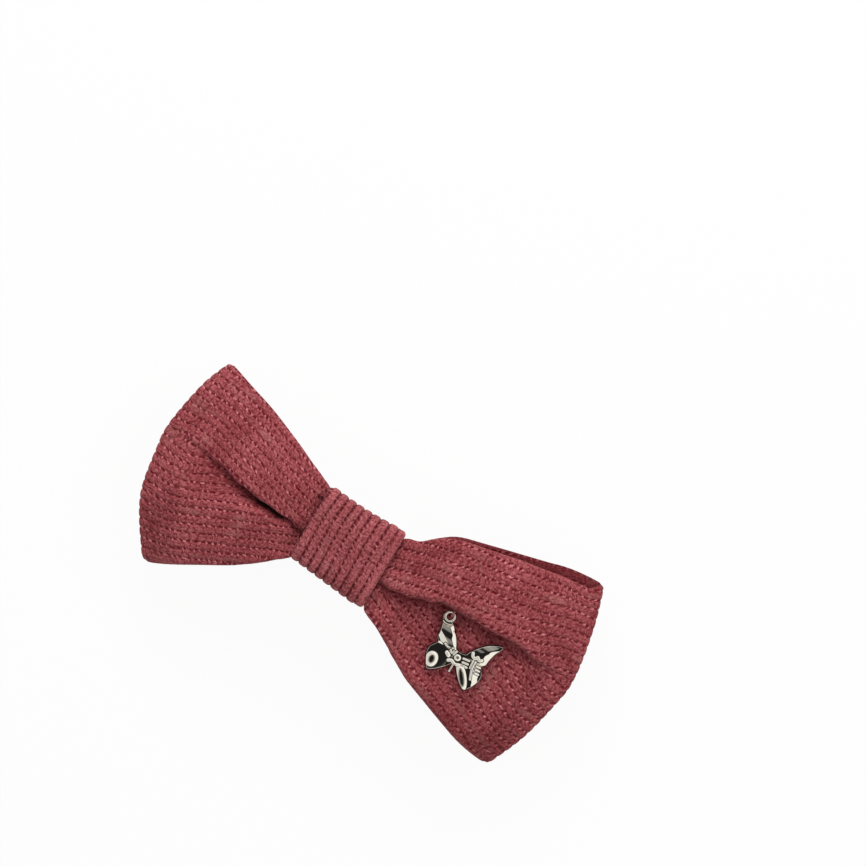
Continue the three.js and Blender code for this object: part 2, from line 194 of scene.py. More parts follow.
def rod(path, radius, sides=10, strands=0, lay=0.0, closed=False):
    """Points of a round rod along a path, and its UV: lengths in radii, and turns.

    strands and lay give it the lumps of a twisted thread."""
    path = np.asarray(path, float)
    if closed:
        ahead = np.roll(path[:-1], -1, 0) - np.roll(path[:-1], 1, 0)
        ahead = unit(np.vstack([ahead, ahead[:1]]))
    else:
        ahead = unit(np.gradient(path, axis=0))
    side = np.zeros_like(path)
    guide = np.eye(3)[np.argmin(np.abs(ahead[0]))]
    for k, tangent in enumerate(ahead):
        guide = unit(guide - tangent * guide.dot(tangent))
        side[k] = guide
    up = np.cross(ahead, side)
    gone = np.concatenate([[0], np.cumsum(np.linalg.norm(np.diff(path, axis=0), axis=1))])
    turn = np.linspace(0, 2 * math.pi, sides + 1)[None, :]
    reach = radius * np.ones((len(path), sides + 1))
    if strands:
        reach = radius * (0.86 + 0.14 * np.abs(np.sin((turn * strands + gone[:, None] * lay) / 2)))
    ring = (side[:, None] * np.cos(turn)[..., None] + up[:, None] * np.sin(turn)[..., None])
    points = path[:, None] + ring * reach[..., None]
    if closed:
        points[-1] = points[0]
    weave = np.stack([np.broadcast_to(gone[:, None] / radius, reach.shape),
                      np.broadcast_to(turn / (2 * math.pi), reach.shape)], -1)
    return points, weave


def cad_copy(node, bevel, segments):
    """A CAD node's shape with its flat faces joined and its sharp edges rounded."""
    bm = bmesh.new()
    bm.from_mesh(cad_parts[node].data)
    bmesh.ops.remove_doubles(bm, verts=bm.verts, dist=2e-6)
    bmesh.ops.dissolve_limit(bm, angle_limit=math.radians(1), verts=bm.verts, edges=bm.edges)
    sharp = [e for e in bm.edges if len(e.link_faces) == 2 and e.calc_face_angle(0) > math.radians(25)]
    bmesh.ops.bevel(bm, geom=sharp, offset=bevel * MM, offset_type="OFFSET", affect="EDGES",
                    segments=segments, profile=0.5, material=-1, clamp_overlap=True)
    return bm


# ---- material helpers ----
def tone(red, green, blue):
    """A display colour, 0 to 255 in each channel, as the linear colour that shaders take."""
    shares = [channel / 255 for channel in (red, green, blue)]
    return [((c + 0.055) / 1.055) ** 2.4 if c > 10 / 255 else c / 12.92 for c in shares] + [1.0]


class Graph:
    """Short ways to add nodes to one node tree."""

    def __init__(self, tree):
        self.tree = tree

    def node(self, kind, inputs=None, **settings):
        made = self.tree.nodes.new(kind)
        for key, value in settings.items():
            setattr(made, key, value)
        for key, value in (inputs or {}).items():
            self.feed(made.inputs[key], value)
        return made

    def feed(self, socket, value):
        if isinstance(value, bpy.types.NodeSocket):
            self.tree.links.new(value, socket)
        else:
            socket.default_value = value

    def math(self, operation, *values, clamp=False):
        made = self.node("ShaderNodeMath", operation=operation, use_clamp=clamp)
        for socket, value in zip(made.inputs, values):
            self.feed(socket, value)
        return made.outputs[0]

    def times(self, first, second):
        return self.math("MULTIPLY", first, second)

    def plus(self, first, second, clamp=False):
        return self.math("ADD", first, second, clamp=clamp)

    def vector(self, operation, *values):
        made = self.node("ShaderNodeVectorMath", operation=operation)
        for socket, value in zip(made.inputs, values):
            self.feed(socket, value)
        return made.outputs[0]

    def place(self):
        """Object coordinates."""
        return self.node("ShaderNodeTexCoord").outputs["Object"]

    def weave(self):
        """The piece's own weave coordinates."""
        return self.node("ShaderNodeUVMap", uv_map="weave").outputs[0]

    def mark(self, name):
        """A named value held at the mesh's points."""
        return self.node("ShaderNodeAttribute", attribute_name=name).outputs["Fac"]

    def blend(self, factor, first, second, kind="MIX"):
        made = self.node("ShaderNodeMix", data_type="RGBA", blend_type=kind)
        self.feed(made.inputs["Factor"], factor)
        self.feed(made.inputs["A"], first)
        self.feed(made.inputs["B"], second)
        return made.outputs["Result"]

    def span(self, value, low, high, to_low=0.0, to_high=1.0, smooth=True):
        made = self.node("ShaderNodeMapRange", interpolation_type="SMOOTHSTEP" if smooth else "LINEAR")
        for key, setting in (("Value", value), ("From Min", low), ("From Max", high),
                             ("To Min", to_low), ("To Max", to_high)):
            self.feed(made.inputs[key], setting)
        return made.outputs["Result"]

    def noise(self, vector, scale, detail=2.0, rough=0.5, distortion=0.0):
        made = self.node("ShaderNodeTexNoise", {"Vector": vector, "Scale": scale, "Detail": detail,
                                                "Roughness": rough, "Distortion": distortion})
        return made.outputs["Fac"]


def node_group(name, inputs, outputs):
    """An empty shader group with its sockets, its graph and its two end nodes."""
    tree = bpy.data.node_groups.new(name, "ShaderNodeTree")
    for label, kind, default in inputs:
        socket = tree.interface.new_socket(label, in_out="INPUT", socket_type=kind)
        if default is not None:
            socket.default_value = default
    for label, kind in outputs:
        tree.interface.new_socket(label, in_out="OUTPUT", socket_type=kind)
    graph = Graph(tree)
    return tree, graph, graph.node("NodeGroupInput").outputs, graph.node("NodeGroupOutput").inputs


def use_group(graph, tree, **values):
    made = graph.node("ShaderNodeGroup", node_tree=tree)
    for label, value in values.items():
        graph.feed(made.inputs[label.replace("_", " ")], value)
    return made.outputs


def rib_cloth_group():
    """Ribs of rounded stitches with a line of small slanted stitches between them, with painted shade and
    painted highlights in their colour.

    It is drawn on weave coordinates: U counts stitches along a rib, V counts ribs."""
    if "Rib Cloth" in bpy.data.node_groups:
        return bpy.data.node_groups["Rib Cloth"]
    colour, number = "NodeSocketColor", "NodeSocketFloat"
    tree, g, given, out = node_group(
        "Rib Cloth",
        [("Weave", "NodeSocketVector", None), ("Place", "NodeSocketVector", None), ("Body", colour, None),
         ("Crest", colour, None), ("Gap", colour, None), ("Fleck", colour, None),
         ("Gap Depth", number, 0.8), ("Hollow", number, 0.0), ("Plain", number, 0.0)],
        [("Color", colour), ("Height", number), ("Roughness", number)],
    )
    split = g.node("ShaderNodeSeparateXYZ", {"Vector": given["Weave"]})
    drift = g.math("SUBTRACT", g.noise(given["Weave"], 0.9, 2.0), 0.5)
    v = g.math("MULTIPLY_ADD", drift, 0.26, split.outputs["Y"])
    row = g.math("FLOOR", v)
    uneven = g.math("SUBTRACT", g.noise(given["Weave"], 0.7, 2.0), 0.5)
    u = g.plus(split.outputs["X"], g.math("MULTIPLY_ADD", row, ROW_SHIFT, g.times(uneven, 1.4)))

    def off_centre(centre):
        """Signed distance across the ribs from a line of each rib, -0.5 to 0.5."""
        return g.math("SUBTRACT", g.math("FRACT", g.plus(v, 0.5 - centre)), 0.5)

    q = g.times(g.math("ABSOLUTE", off_centre(RIB_MIDDLE)), 2.0)
    square = g.times(q, q)
    rib = g.math("MULTIPLY_ADD", g.math("POWER", q, 5.0), -0.85, 1.0)
    bead = g.math("POWER", g.math("ABSOLUTE", g.math(
        "SINE", g.times(g.math("MULTIPLY_ADD", square, BEAD_ARC, u), math.pi))), 0.4)
    lump = g.times(rib, g.math("MULTIPLY_ADD", bead, 0.4, 0.6))
    # In the groove small stitches lie slantwise, each with a painted highlight and a hole of painted shade
    # after it.
    groove_at = g.math("DIVIDE", off_centre(RIB_MIDDLE + 0.5), GROOVE_HALF)
    slant = g.math("FRACT", g.math("MULTIPLY_ADD", groove_at, 0.09, g.plus(u, 0.5)))
    centred = g.math("ABSOLUTE", g.math("SUBTRACT", slant, 0.5))
    which = g.node("ShaderNodeCombineXYZ", {"X": g.math("FLOOR", u), "Y": row}).outputs[0]
    luck = g.node("ShaderNodeTexWhiteNoise", {"Vector": which}, noise_dimensions="2D").outputs["Value"]
    groove = g.span(g.math("ABSOLUTE", groove_at), 0.5, 1.3, 1.0, 0.0)
    light_line = g.span(g.math("ABSOLUTE", g.plus(groove_at, 0.2)), 0.6, 1.4, 1.0, 0.0)
    dash = g.times(g.span(centred, 0.14, 0.26, 1.0, 0.0), light_line)
    hole = g.times(g.span(centred, 0.2, 0.34, 0.45, 1.0), groove)
    # Fine yarn: short plies lying slantwise over each stitch, and speckles of painted shade where they part.
    plies = g.node("ShaderNodeMapping", {"Vector": given["Weave"], "Rotation": (0, 0, 0.35),
                                         "Scale": (2.6, 13.0, 1.0)}).outputs[0]
    yarn = g.noise(plies, 1.0, 3.0, 0.6, 0.5)
    nap_way = g.node("ShaderNodeMapping", {"Vector": given["Weave"], "Rotation": (0, 0, 0.9),
                                           "Scale": (4.4, 5.2, 1.0)}).outputs[0]
    nap = g.noise(nap_way, 1.0, 3.0, 0.65, 0.9)
    speckle = g.noise(given["Weave"], 3.6, 3.0, 0.7)
    patchy = g.noise(given["Place"], 150.0, 3.0, 0.55)
    # Streaks along the nap where it is worn: they carry a painted sheen and soften the painted stitch marks.
    worn_way = g.node("ShaderNodeMapping", {"Vector": given["Weave"], "Scale": (0.22, 0.55, 1.0)}).outputs[0]
    wear = g.noise(worn_way, 1.0, 3.0, 0.55)
    kept = g.span(wear, 0.38, 0.6, 1.0, 0.75)
    woven = g.math("SUBTRACT", 1.0, given["Plain"])
    crest = g.span(g.plus(lump, g.times(g.math("SUBTRACT", nap, 0.5), 1.5)), 0.3, 1.2)
    cloth = g.blend(g.times(crest, g.span(patchy, 0.3, 0.7, 0.55, 1.0)), given["Body"], given["Crest"])
    place = g.node("ShaderNodeCombineXYZ", {"X": u, "Y": g.times(v, 1.8)}).outputs[0]
    edge = g.node("ShaderNodeTexVoronoi", {"Vector": place, "Scale": 1.15, "Randomness": 0.8},
                  feature="DISTANCE_TO_EDGE", voronoi_dimensions="2D").outputs["Distance"]
    # Painted shade in the partings between the stitches and along the cells' edges.
    parting = g.math("MAXIMUM", g.span(bead, 0.25, 0.66, 0.7, 0.0), g.span(edge, 0.0, 0.14, 0.7, 0.0))
    seam = g.times(parting, g.span(speckle, 0.42, 0.56, 0.1, 1.0))
    seam = g.times(g.times(seam, 0.9), woven)
    cloth = g.blend(seam, cloth, given["Gap"])
    # Grains of yarn, each with a painted highlight in its middle and dots of painted shade where they meet.
    grain = g.node("ShaderNodeTexVoronoi", {"Vector": place, "Scale": 1.9, "Randomness": 0.8},
                   voronoi_dimensions="2D").outputs["Distance"]
    cloth = g.blend(g.times(g.span(grain, 0.1, 0.38, 0.24, 0.0), g.span(speckle, 0.4, 0.6, 1.0, 0.3)),
                    cloth, given["Fleck"])
    cloth = g.blend(g.span(grain, 0.44, 0.66, 0.0, 0.45), cloth, given["Gap"])
    # Painted shade in the holes between the groove's stitches; Gap Depth sets how dark.
    dark = g.times(g.times(hole, g.span(speckle, 0.3, 0.55, 0.5, 1.0)), given["Gap Depth"])
    dark = g.times(dark, kept)
    cloth = g.blend(g.times(dark, woven), cloth, given["Gap"])
    # Painted highlights on the slanted stitches in the groove.
    bright = g.times(g.times(dash, g.span(luck, 0.1, 0.7, 0.15, 1.0)),
                    g.times(g.span(yarn, 0.35, 0.6, 0.35, 1.0), kept))
    cloth = g.blend(g.times(bright, woven), cloth, given["Fleck"])
    # Painted shade in small dark pits between the plies.
    pits = g.times(g.span(speckle, 0.55, 0.65), 0.8)
    cloth = g.blend(pits, cloth, given["Gap"])
    glints = g.times(g.span(nap, 0.60, 0.72), 0.42)
    cloth = g.blend(glints, cloth, given["Fleck"])
    # Painted sheen: lighter greyish streaks on the crests' worn nap.
    cloth = g.blend(g.times(g.span(wear, 0.54, 0.7, 0.0, 0.32), crest), cloth, tone(172, 122, 116))
    # Painted shade from the mesh's marks, in pleats, hems, grooves and hollows; past 0.6 it darkens the
    # whole colour.
    cloth = g.blend(g.times(given["Hollow"], 0.9), cloth, given["Gap"])
    depth = g.span(given["Hollow"], 0.6, 1.0, 1.0, 0.12)
    shade = g.times(g.span(patchy, 0.25, 0.75, 0.9, 1.08), depth)
    tint = g.node("ShaderNodeCombineColor", {"Red": shade, "Green": shade, "Blue": shade})
    g.feed(out["Color"], g.blend(1.0, cloth, tint.outputs[0], "MULTIPLY"))
    height = g.plus(g.times(lump, 0.6), g.times(nap, 0.4))
    height = g.math("MULTIPLY_ADD", g.span(grain, 0.0, 0.6, 1.0, 0.0), 0.45, height)
    height = g.plus(height, g.times(g.math("SUBTRACT", 1.0, g.span(speckle, 0.5, 0.68)), 0.25))
    g.feed(out["Height"], g.plus(height, g.times(bright, 0.35)))
    g.feed(out["Roughness"], g.span(nap, 0.3, 0.7, 0.82, 0.97))
    return tree


def metal_wear_group():
    """Soft smudges and hairline scratches for polished or brushed metal, with painted shade where the mesh
    marks it.
    """
    if "Metal Wear" in bpy.data.node_groups:
        return bpy.data.node_groups["Metal Wear"]
    colour, number = "NodeSocketColor", "NodeSocketFloat"
    tree, g, given, out = node_group(
        "Metal Wear",
        [("Place", "NodeSocketVector", None), ("Metal", colour, None), ("Tarnish", colour, None),
         ("Gloss", number, 0.1), ("Smudge", number, 0.1), ("Scratches", number, 0.3),
         ("Hollow", number, 0.0)],
        [("Color", colour), ("Roughness", number), ("Height", number)],
    )
    cloud = g.noise(given["Place"], 260.0, 4.0, 0.6)
    long_way = g.node("ShaderNodeMapping", {"Vector": given["Place"],
                                            "Scale": (300.0, 5200.0, 900.0)}).outputs[0]
    hair = g.span(g.noise(long_way, 1.0, 2.0, 0.5), 0.58, 0.72)
    dull = g.times(g.span(cloud, 0.42, 0.75), given["Smudge"])
    scratch = g.times(hair, given["Scratches"])
    # The dark colour is tarnish where smudged and painted shade where the mesh marks it.
    tarnish_and_shade = g.plus(g.times(dull, 0.5), given["Hollow"], clamp=True)
    g.feed(out["Color"], g.blend(tarnish_and_shade, given["Metal"], given["Tarnish"]))
    rough = g.plus(g.plus(given["Gloss"], dull), g.times(scratch, 0.25))
    g.feed(out["Roughness"], g.plus(rough, g.times(given["Hollow"], 0.2), clamp=True))
    g.feed(out["Height"], g.plus(g.times(cloud, 0.6), g.times(scratch, -0.4)))
    return tree


def blank_material(name, **constants):
    """A material with its graph and its Principled shader, whose plain sockets take the constants."""
    material = bpy.data.materials.new(name)
    material.use_nodes = True
    material.node_tree.nodes.clear()
    g = Graph(material.node_tree)
    shader = g.node("ShaderNodeBsdfPrincipled")
    for label, value in constants.items():
        shader.inputs[label.replace("_", " ")].default_value = value
    g.node("ShaderNodeOutputMaterial", {"Surface": shader.outputs[0]})
    return material, g, shader.inputs


def bump(g, height, strength, distance):
    return g.node("ShaderNodeBump", {"Height": height, "Strength": strength,
                                     "Distance": distance * MM}).outputs[0]


def cloth_material(name="rose_ribbed_cloth", worn=0.0):
    """Dusty rose ribbed cloth with a pale nap on its ribs and deep red painted shade between them.

    worn makes a lighter copy: it moves the body towards the nap colour and the nap towards the highlight
    colour, from 0 to 1."""
    if name in bpy.data.materials:
        return bpy.data.materials[name]
    look = bpy.context.scene.bow_cloth
    body = mix(np.array(look.body), np.array(look.crest), worn)
    crest = mix(np.array(look.crest), np.array(look.fleck), worn)
    material, g, shader = blank_material(
        name, Sheen_Weight=0.30, Sheen_Roughness=0.45, Sheen_Tint=tone(214, 150, 150),
        Specular_IOR_Level=0.15)
    weave = g.weave()
    place = g.place()
    hollow = g.mark("hollow")
    plain = g.mark("plain")
    made = use_group(g, rib_cloth_group(), Weave=weave, Place=place, Body=[*body, 1],
                     Crest=[*crest, 1], Gap=[*look.gap, 1], Fleck=[*look.fleck, 1],
                     Gap_Depth=look.gap_depth, Hollow=hollow, Plain=plain)
    g.feed(shader["Base Color"], made["Color"])
    g.feed(shader["Roughness"], made["Roughness"])
    g.feed(shader["Normal"], bump(g, made["Height"], 0.8, 0.14))
    return material


def thread_material():
    """Twisted rose sewing thread, on weave coordinates that follow its length."""
    name = "rose_sewing_thread"
    if name in bpy.data.materials:
        return bpy.data.materials[name]
    material, g, shader = blank_material(name, Sheen_Weight=0.2, Roughness=0.7, Specular_IOR_Level=0.3)
    weave = g.weave()
    split = g.node("ShaderNodeSeparateXYZ", {"Vector": weave})
    turn = g.plus(g.times(split.outputs["X"], 0.42), g.times(split.outputs["Y"], 2.0))
    twist = g.math("ABSOLUTE", g.math("SINE", g.times(turn, math.pi)))
    fuzz = g.noise(g.vector("MULTIPLY", weave, (1.5, 9.0, 1.0)), 1.0, 3.0, 0.6)
    strand = g.plus(g.times(twist, 0.7), g.times(fuzz, 0.3))
    # Painted shade between the twisted strands, lighter on their crowns.
    g.feed(shader["Base Color"], g.blend(g.span(strand, 0.15, 0.8), tone(112, 30, 42), tone(196, 124, 126)))
    g.feed(shader["Normal"], bump(g, strand, 0.7, 0.06))
    return material


def hidden_thread_material():
    """The same thread on a node with no UV: its twist is drawn on the part's own axes."""
    material, g, shader = blank_material("rose_gathering_thread", Sheen_Weight=0.2, Roughness=0.75)
    place = g.place()
    slant = g.node("ShaderNodeMapping", {"Vector": place, "Rotation": (0.5, 0.3, 0.7)}).outputs[0]
    strand = g.node("ShaderNodeTexWave", {"Vector": slant, "Scale": 900.0, "Distortion": 1.5,
                                          "Detail": 2.0}).outputs["Fac"]
    # Painted shade between the twisted strands, lighter on their crowns.
    g.feed(shader["Base Color"], g.blend(strand, tone(112, 30, 42), tone(190, 118, 122)))
    g.feed(shader["Normal"], bump(g, strand, 0.6, 0.05))
    return material


def metal_material(name, metal, tarnish_and_shade, gloss, smudge, scratches):
    if name in bpy.data.materials:
        return bpy.data.materials[name]
    material, g, shader = blank_material(name, Metallic=1.0)
    place = g.place()
    hollow = g.mark("hollow")
    made = use_group(g, metal_wear_group(), Place=place, Metal=metal, Tarnish=tarnish_and_shade, Gloss=gloss,
                     Smudge=smudge, Scratches=scratches, Hollow=hollow)
    g.feed(shader["Base Color"], made["Color"])
    g.feed(shader["Roughness"], made["Roughness"])
    g.feed(shader["Normal"], bump(g, made["Height"], 0.25, 0.01))
    return material


def silver_material():
    # Its dark colour paints shade and dark reflections into the charm's hollows and rim.
    return metal_material("blackened_silver", tone(236, 230, 216), tone(30, 27, 24), 0.05, 0.05, 0.08)


def nickel_material():
    return metal_material("worn_nickel", tone(214, 212, 206), tone(120, 116, 108), 0.20, 0.16, 0.7)


def spring_material():
    return metal_material("spring_wire", tone(176, 177, 180), tone(92, 88, 84), 0.28, 0.15, 0.9)


def glue_material():
    """Clouded hot glue: a soft waxy solid with small bubbles."""
    material, g, shader = blank_material(
        "clouded_glue", Subsurface_Weight=0.35, Subsurface_Radius=(0.9, 0.8, 0.6), Subsurface_Scale=MM,
        Specular_IOR_Level=0.5, Coat_Weight=0.2)
    place = g.place()
    cloud = g.noise(place, 420.0, 4.0, 0.6)
    bubble = g.node("ShaderNodeTexVoronoi", {"Vector": place, "Scale": 1400.0}).outputs["Distance"]
    pits = g.span(bubble, 0.08, 0.22)
    g.feed(shader["Base Color"], g.blend(cloud, tone(222, 214, 196), tone(240, 235, 222)))
    g.feed(shader["Roughness"], g.span(cloud, 0.3, 0.7, 0.28, 0.5))
    g.feed(shader["Normal"], bump(g, g.plus(cloud, g.times(pits, 0.4)), 0.5, 0.08))
    return material


# ---- the cloth of the two loops ----
FIRST_RIB, FIRST_BEAD = 40, 20  # where the weave's counts start, so that none is negative
BEAD_ARC = 0.35  # how far a stitch's ends lag behind its middle, in stitches
ROW_SHIFT = 0.37  # how far the stitches of a rib lag behind its neighbour's
RIB_MIDDLE = 0.4  # where a rib lies in its pitch
GROOVE_HALF = 0.12
KNOT_LOW, KNOT_HIGH = -5.1, 4.3
# bottom, top and fold are a loop's outline, as points [x, y]. floor holds [how far past the pleat,
# share of the step]. The other lists of pairs hold [share of the way from knot to fold, value]:
# crest and droop: height of the front's middle, and how much lower its edges are.
# ridge: the pleat's place across, from -1 at the low edge to 1 at the high one.
# step, valley and overlap: the drop past the pleat, its breadth, and how far the lip rolls over it.
# shadow and fade: how dark the painted shadow in the pleat's dip is, and how broad.
# tuck: how far the front layer hangs over the low edge.
# A guide is a line that the front's ribs keep to: x, y and slope.
# A crease is its place across at the knot and at the fold, depth, breadth, start and end.
LOOPS = {
    "right": {
        "bottom": curve([[0, KNOT_LOW], [3, -5.0], [6.2, -6.6], [7.4, -8.1], [11, -10.0], [15, -12.3],
                         [20, -15.1], [30, -18.8], [35, -20.2], [40, -20.8]]),
        "top": curve([[0, KNOT_HIGH], [3, 4.2], [6.2, 5.6], [7.4, 6.5], [9.6, 7.2], [12, 9.4], [15, 11.4],
                      [20, 12.8], [30, 15.3], [35, 16.5], [41.6, 17.0]]),
        "fold": curve([[40, -20.8], [43, -13.3], [44.9, -5], [45.4, -1], [44.9, 4], [43.5, 10.8],
                       [41.6, 17.0]]),
        "crest": [[0, 15.5], [0.12, 15.5], [0.2, 16.2], [0.36, 16.9], [0.6, 16.6], [0.8, 15.6], [1, 12.4]],
        "droop": [[0, 0.7], [0.16, 0.6], [0.5, 2.4], [1, 3]],
        "ridge": [[0.14, -0.43], [0.2, -0.25], [0.3, -0.17], [0.4, -0.05], [0.46, 0.06], [0.5, 0.07],
                  [0.62, 0.1], [0.76, 0.12], [0.86, 0.08], [1, 0.1]],
        "step": [[0.13, 0], [0.26, -1.8], [0.37, -3.4], [0.46, -3.5], [0.74, -3.2], [0.98, -0.25]],
        "valley": [[0.18, 1.6], [0.3, 4.0], [0.44, 12], [0.54, 15.5], [1, 19]],
        "floor": [[-1.15, 0.1], [-0.8, 0.75], [-0.35, 0.95], [0, 1.0]],
        "overlap": [[0.12, 1.2], [0.26, 2.0], [0.38, 2.1], [0.46, 1.7], [0.54, 1.7], [0.66, 2.3],
                    [0.85, 1.6], [1, 0.9]],
        "roll": 1.6,
        "pitch": 1.9,
        "guides": ((40.0, -20.8, -0.42), (41.6, 17.0, 0.19)),
        "shadow": [[0.14, 0.2], [0.18, 0.75], [0.24, 0.6], [0.36, 0.6], [0.5, 0.5], [0.8, 0.35], [1, 0]],
        "fade": [[0.14, 0.5], [0.4, 0.9], [1, 1.6]],
        "creases": [(0.62, 0.72, 0.45, 1.3, 0.16, 0.5), (0.25, 0.30, 0.35, 1.2, 0.16, 0.42),
                    (-0.62, -0.52, 0.55, 1.3, 0.16, 0.5), (-0.45, -0.30, 0.35, 1.2, 0.18, 0.44),
                    (-0.84, -0.74, 0.2, 1.6, 0.16, 0.5)],
        "tuck": [[0.1, 0], [0.2, 0.2], [0.3, 0]],
        "hem_shows": 1.0,
        # low_edge_shade: how much painted shade lies towards the front's low edge.
        "low_edge_shade": 0.3,
        "seed": 5,
    },
    "left": {
        "bottom": curve([[0, KNOT_LOW], [-3, -5.0], [-7.8, -5.6], [-9.0, -6.9], [-11, -9.3], [-15, -12.7],
                         [-20, -15.8], [-27, -19.7], [-30.6, -21.2]]),
        "top": curve([[0, KNOT_HIGH], [-3, 4.2], [-8.3, 5.7], [-9.0, 7.3], [-15, 10.0], [-20, 12.0],
                      [-25, 13.8], [-30, 15.2], [-35.3, 16.7]]),
        "fold": curve([[-30.6, -21.2], [-34.8, -15.0], [-37.2, -10], [-38.5, -3], [-38.9, 2], [-37.4, 11],
                       [-35.3, 16.7]]),
        "crest": [[0, 15.5], [0.14, 15.5], [0.24, 16.2], [0.38, 16.9], [0.6, 16.4], [0.8, 15.2], [1, 12]],
        "droop": [[0, 0.7], [0.2, 0.6], [0.5, 2.2], [1, 3]],
        "ridge": [[0.22, -0.45], [0.28, -0.26], [0.36, -0.08], [0.5, 0.02], [0.62, 0.08], [0.75, 0.17],
                  [0.86, 0.22]],
        "step": [[0.14, 0], [0.28, -0.6], [0.36, -1.4], [0.44, -3.2], [0.56, -3.4], [0.64, -2.1],
                 [0.78, -1.2], [1, -0.2]],
        "valley": [[0.2, 1.6], [0.5, 2.4], [0.62, 4.0], [0.76, 7.0], [1, 9]],
        "floor": [[-1.1, 0.0], [0, 1.0]],
        "overlap": [[0.14, 0.9], [0.3, 1.3], [0.5, 1.9], [0.62, 1.6], [0.75, 1.1], [0.95, 0.4]],
        "roll": 1.1,
        "pitch": 1.65,
        "guides": ((-30.6, -21.2, 0.46), (-35.3, 16.7, -0.26)),
        "shadow": [[0.14, 0.3], [0.36, 0.6], [0.4, 1.0], [0.52, 1.0], [0.57, 0.58], [0.74, 0.45], [0.92, 0]],
        "fade": [[0.14, 0.3], [0.36, 0.5], [0.46, 1.0], [0.55, 1.1], [0.66, 2.2], [0.8, 2.4]],
        "creases": [(-0.28, -0.34, 0.55, 1.5, 0.18, 0.62), (-0.52, -0.56, 0.75, 1.5, 0.16, 0.58),
                    (-0.76, -0.74, 0.5, 1.2, 0.16, 0.6), (0.5, 0.56, 0.3, 1.5, 0.16, 0.42),
                    (0.22, 0.26, 0.3, 1.4, 0.18, 0.4), (0.78, 0.8, 0.3, 1.2, 0.16, 0.5)],
        "tuck": [[0.12, 0], [0.2, 0.8], [0.26, 0.6], [0.36, 0]],
        "hem_shows": 0.0,
        "low_edge_shade": 0.0,
        "seed": 11,
    },
}
HEM_SHOWS = [[0.26, 0], [0.4, 0.5], [0.62, 0.8], [0.85, 1.5], [0.95, 1.5], [1, 0]]
LOOP_THICK = [[0, 3.6], [0.22, 4.2], [0.4, 7], [0.75, 6], [1, 4.4]]
LOOP_EDGE = [[0, 2.2], [0.22, 2.6], [0.4, 4.4], [1, 4.4]]
FOLD_SQUARENESS = 5  # how late a loop starts to round off at its fold
LOOP_REACH = {"right": 44.0, "left": 38.0}


def fold_profile(reach, half=2.7):
    """Shares of the reach and of the half thickness at even steps round a loop's side outline."""
    turn = math.pi / 2 * np.linspace(-1, 1, 8001) ** 3
    u = np.cos(turn)
    w = np.sign(turn) * (1 - u ** FOLD_SQUARENESS).clip(0) ** (1 / FOLD_SQUARENESS)
    gone = np.concatenate([[0], np.cumsum(np.hypot(np.diff(u) * reach, np.diff(w) * half))])
    return (lambda a: (np.interp(a * gone[-1], gone, u), np.interp(a * gone[-1], gone, w))), gone[-1]


def loop_place(loop, u, w, t, inset):
    """The outer face of a loop's cloth. w is -1 on its back layer, 0 at the fold and 1 on its front."""
    low, high = loop["bottom"](u), loop["top"](u)
    width = np.maximum(np.linalg.norm(high - low, axis=-1), 1)
    margin = inset / width
    t = margin + t * (1 - 2 * margin)
    flat = mix(low, high, t[..., None])
    straight = mix(loop["bottom"](1.0), loop["top"](1.0), t[..., None])
    flat = flat + (loop["fold"](t) - straight) * (u * u)[..., None]
    s = 2 * t - 1
    edge = s ** 4
    thick = mix(along(LOOP_THICK, u), along(LOOP_EDGE, u), edge)
    crown = along(loop["crest"], u) - along(loop["droop"], u) * np.abs(s).clip(0, 1.05) ** 2.2
    front = ease(w, 0, 0.8)
    # The pleat: the upper lobe rolls over the start of the lower one.
    roll = loop["roll"]
    gap = (s - along(loop["ridge"], u)) * width / 2 / roll
    below = gap * roll / along(loop["valley"], u)
    lobe = along(loop["step"], u) * (1 - ease(gap, -1, 1)) * along(loop["floor"], below) * ease(s, -1, -0.62)
    slide = -along(loop["overlap"], u) * gap * np.exp(-gap * gap) * front
    # Along the top edge the front layer stops short, and the back layer's hem shows.
    on_front = ease(w, -0.2, 0.6)
    slide = slide - loop["hem_shows"] * along(HEM_SHOWS, u) * ease(s, 0.6, 1) * on_front
    # Beside the knot the front layer hangs over the back layer's lower edge.
    slide = slide - along(loop["tuck"], u) * ease(-s, 0.5, 1) * on_front
    pinch = 0
    for near, far, depth, broad, start, end in loop["creases"]:
        line = mix(near, far, u)
        fade = ease(u, start, start + 0.07) * (1 - ease(u, start + 0.1, end + 0.12))
        pinch = pinch - depth * fade * np.exp(-(((s - line) * width / 2) / broad) ** 2)
    swell = 0.28 * ripple(flat[..., 0] / 4.5, flat[..., 1] / 3.2, loop["seed"]) * ease(u, 0.2, 0.4)
    half = (thick + lobe * front) / 2
    z = crown + lobe * front - half + half * w + (pinch + swell) * np.abs(w)
    return np.stack([flat[..., 0], flat[..., 1] + slide, z], -1), gap


def lip_fall(loop, u):
    """How far the upper lobe's lip hangs below the ridge, in millimetres."""
    across = np.linspace(0, 2, 41)
    drop = across * (loop["roll"] - along(loop["overlap"], u)[..., None] * np.exp(-across ** 2))
    return drop.min(-1)


def ply_stations(across, under, rounding, edge):
    """Stations round one folded ply: [share across, angle out of its face] and its unrolled length.

    edge is the length of a rolled edge, as a share of the ply's width."""
    face = [(t, 0.0, t) for t in np.linspace(0, 1, across + 1)]
    steps = np.arange(1, rounding + 1) / (rounding + 1)
    round_top = [(1.0, math.pi * k, 1 + edge * k) for k in steps]
    back = [(t, math.pi, 1 + edge + (1 - t)) for t in np.linspace(1, 0, under + 1)]
    round_low = [(0.0, math.pi * (1 + k), 2 + edge * (1 + k)) for k in steps]
    stations = np.array(face + round_top + back + round_low + [(0.0, 2 * math.pi, 2 + 2 * edge)])
    return stations[:, 0], stations[:, 1], stations[:, 2]


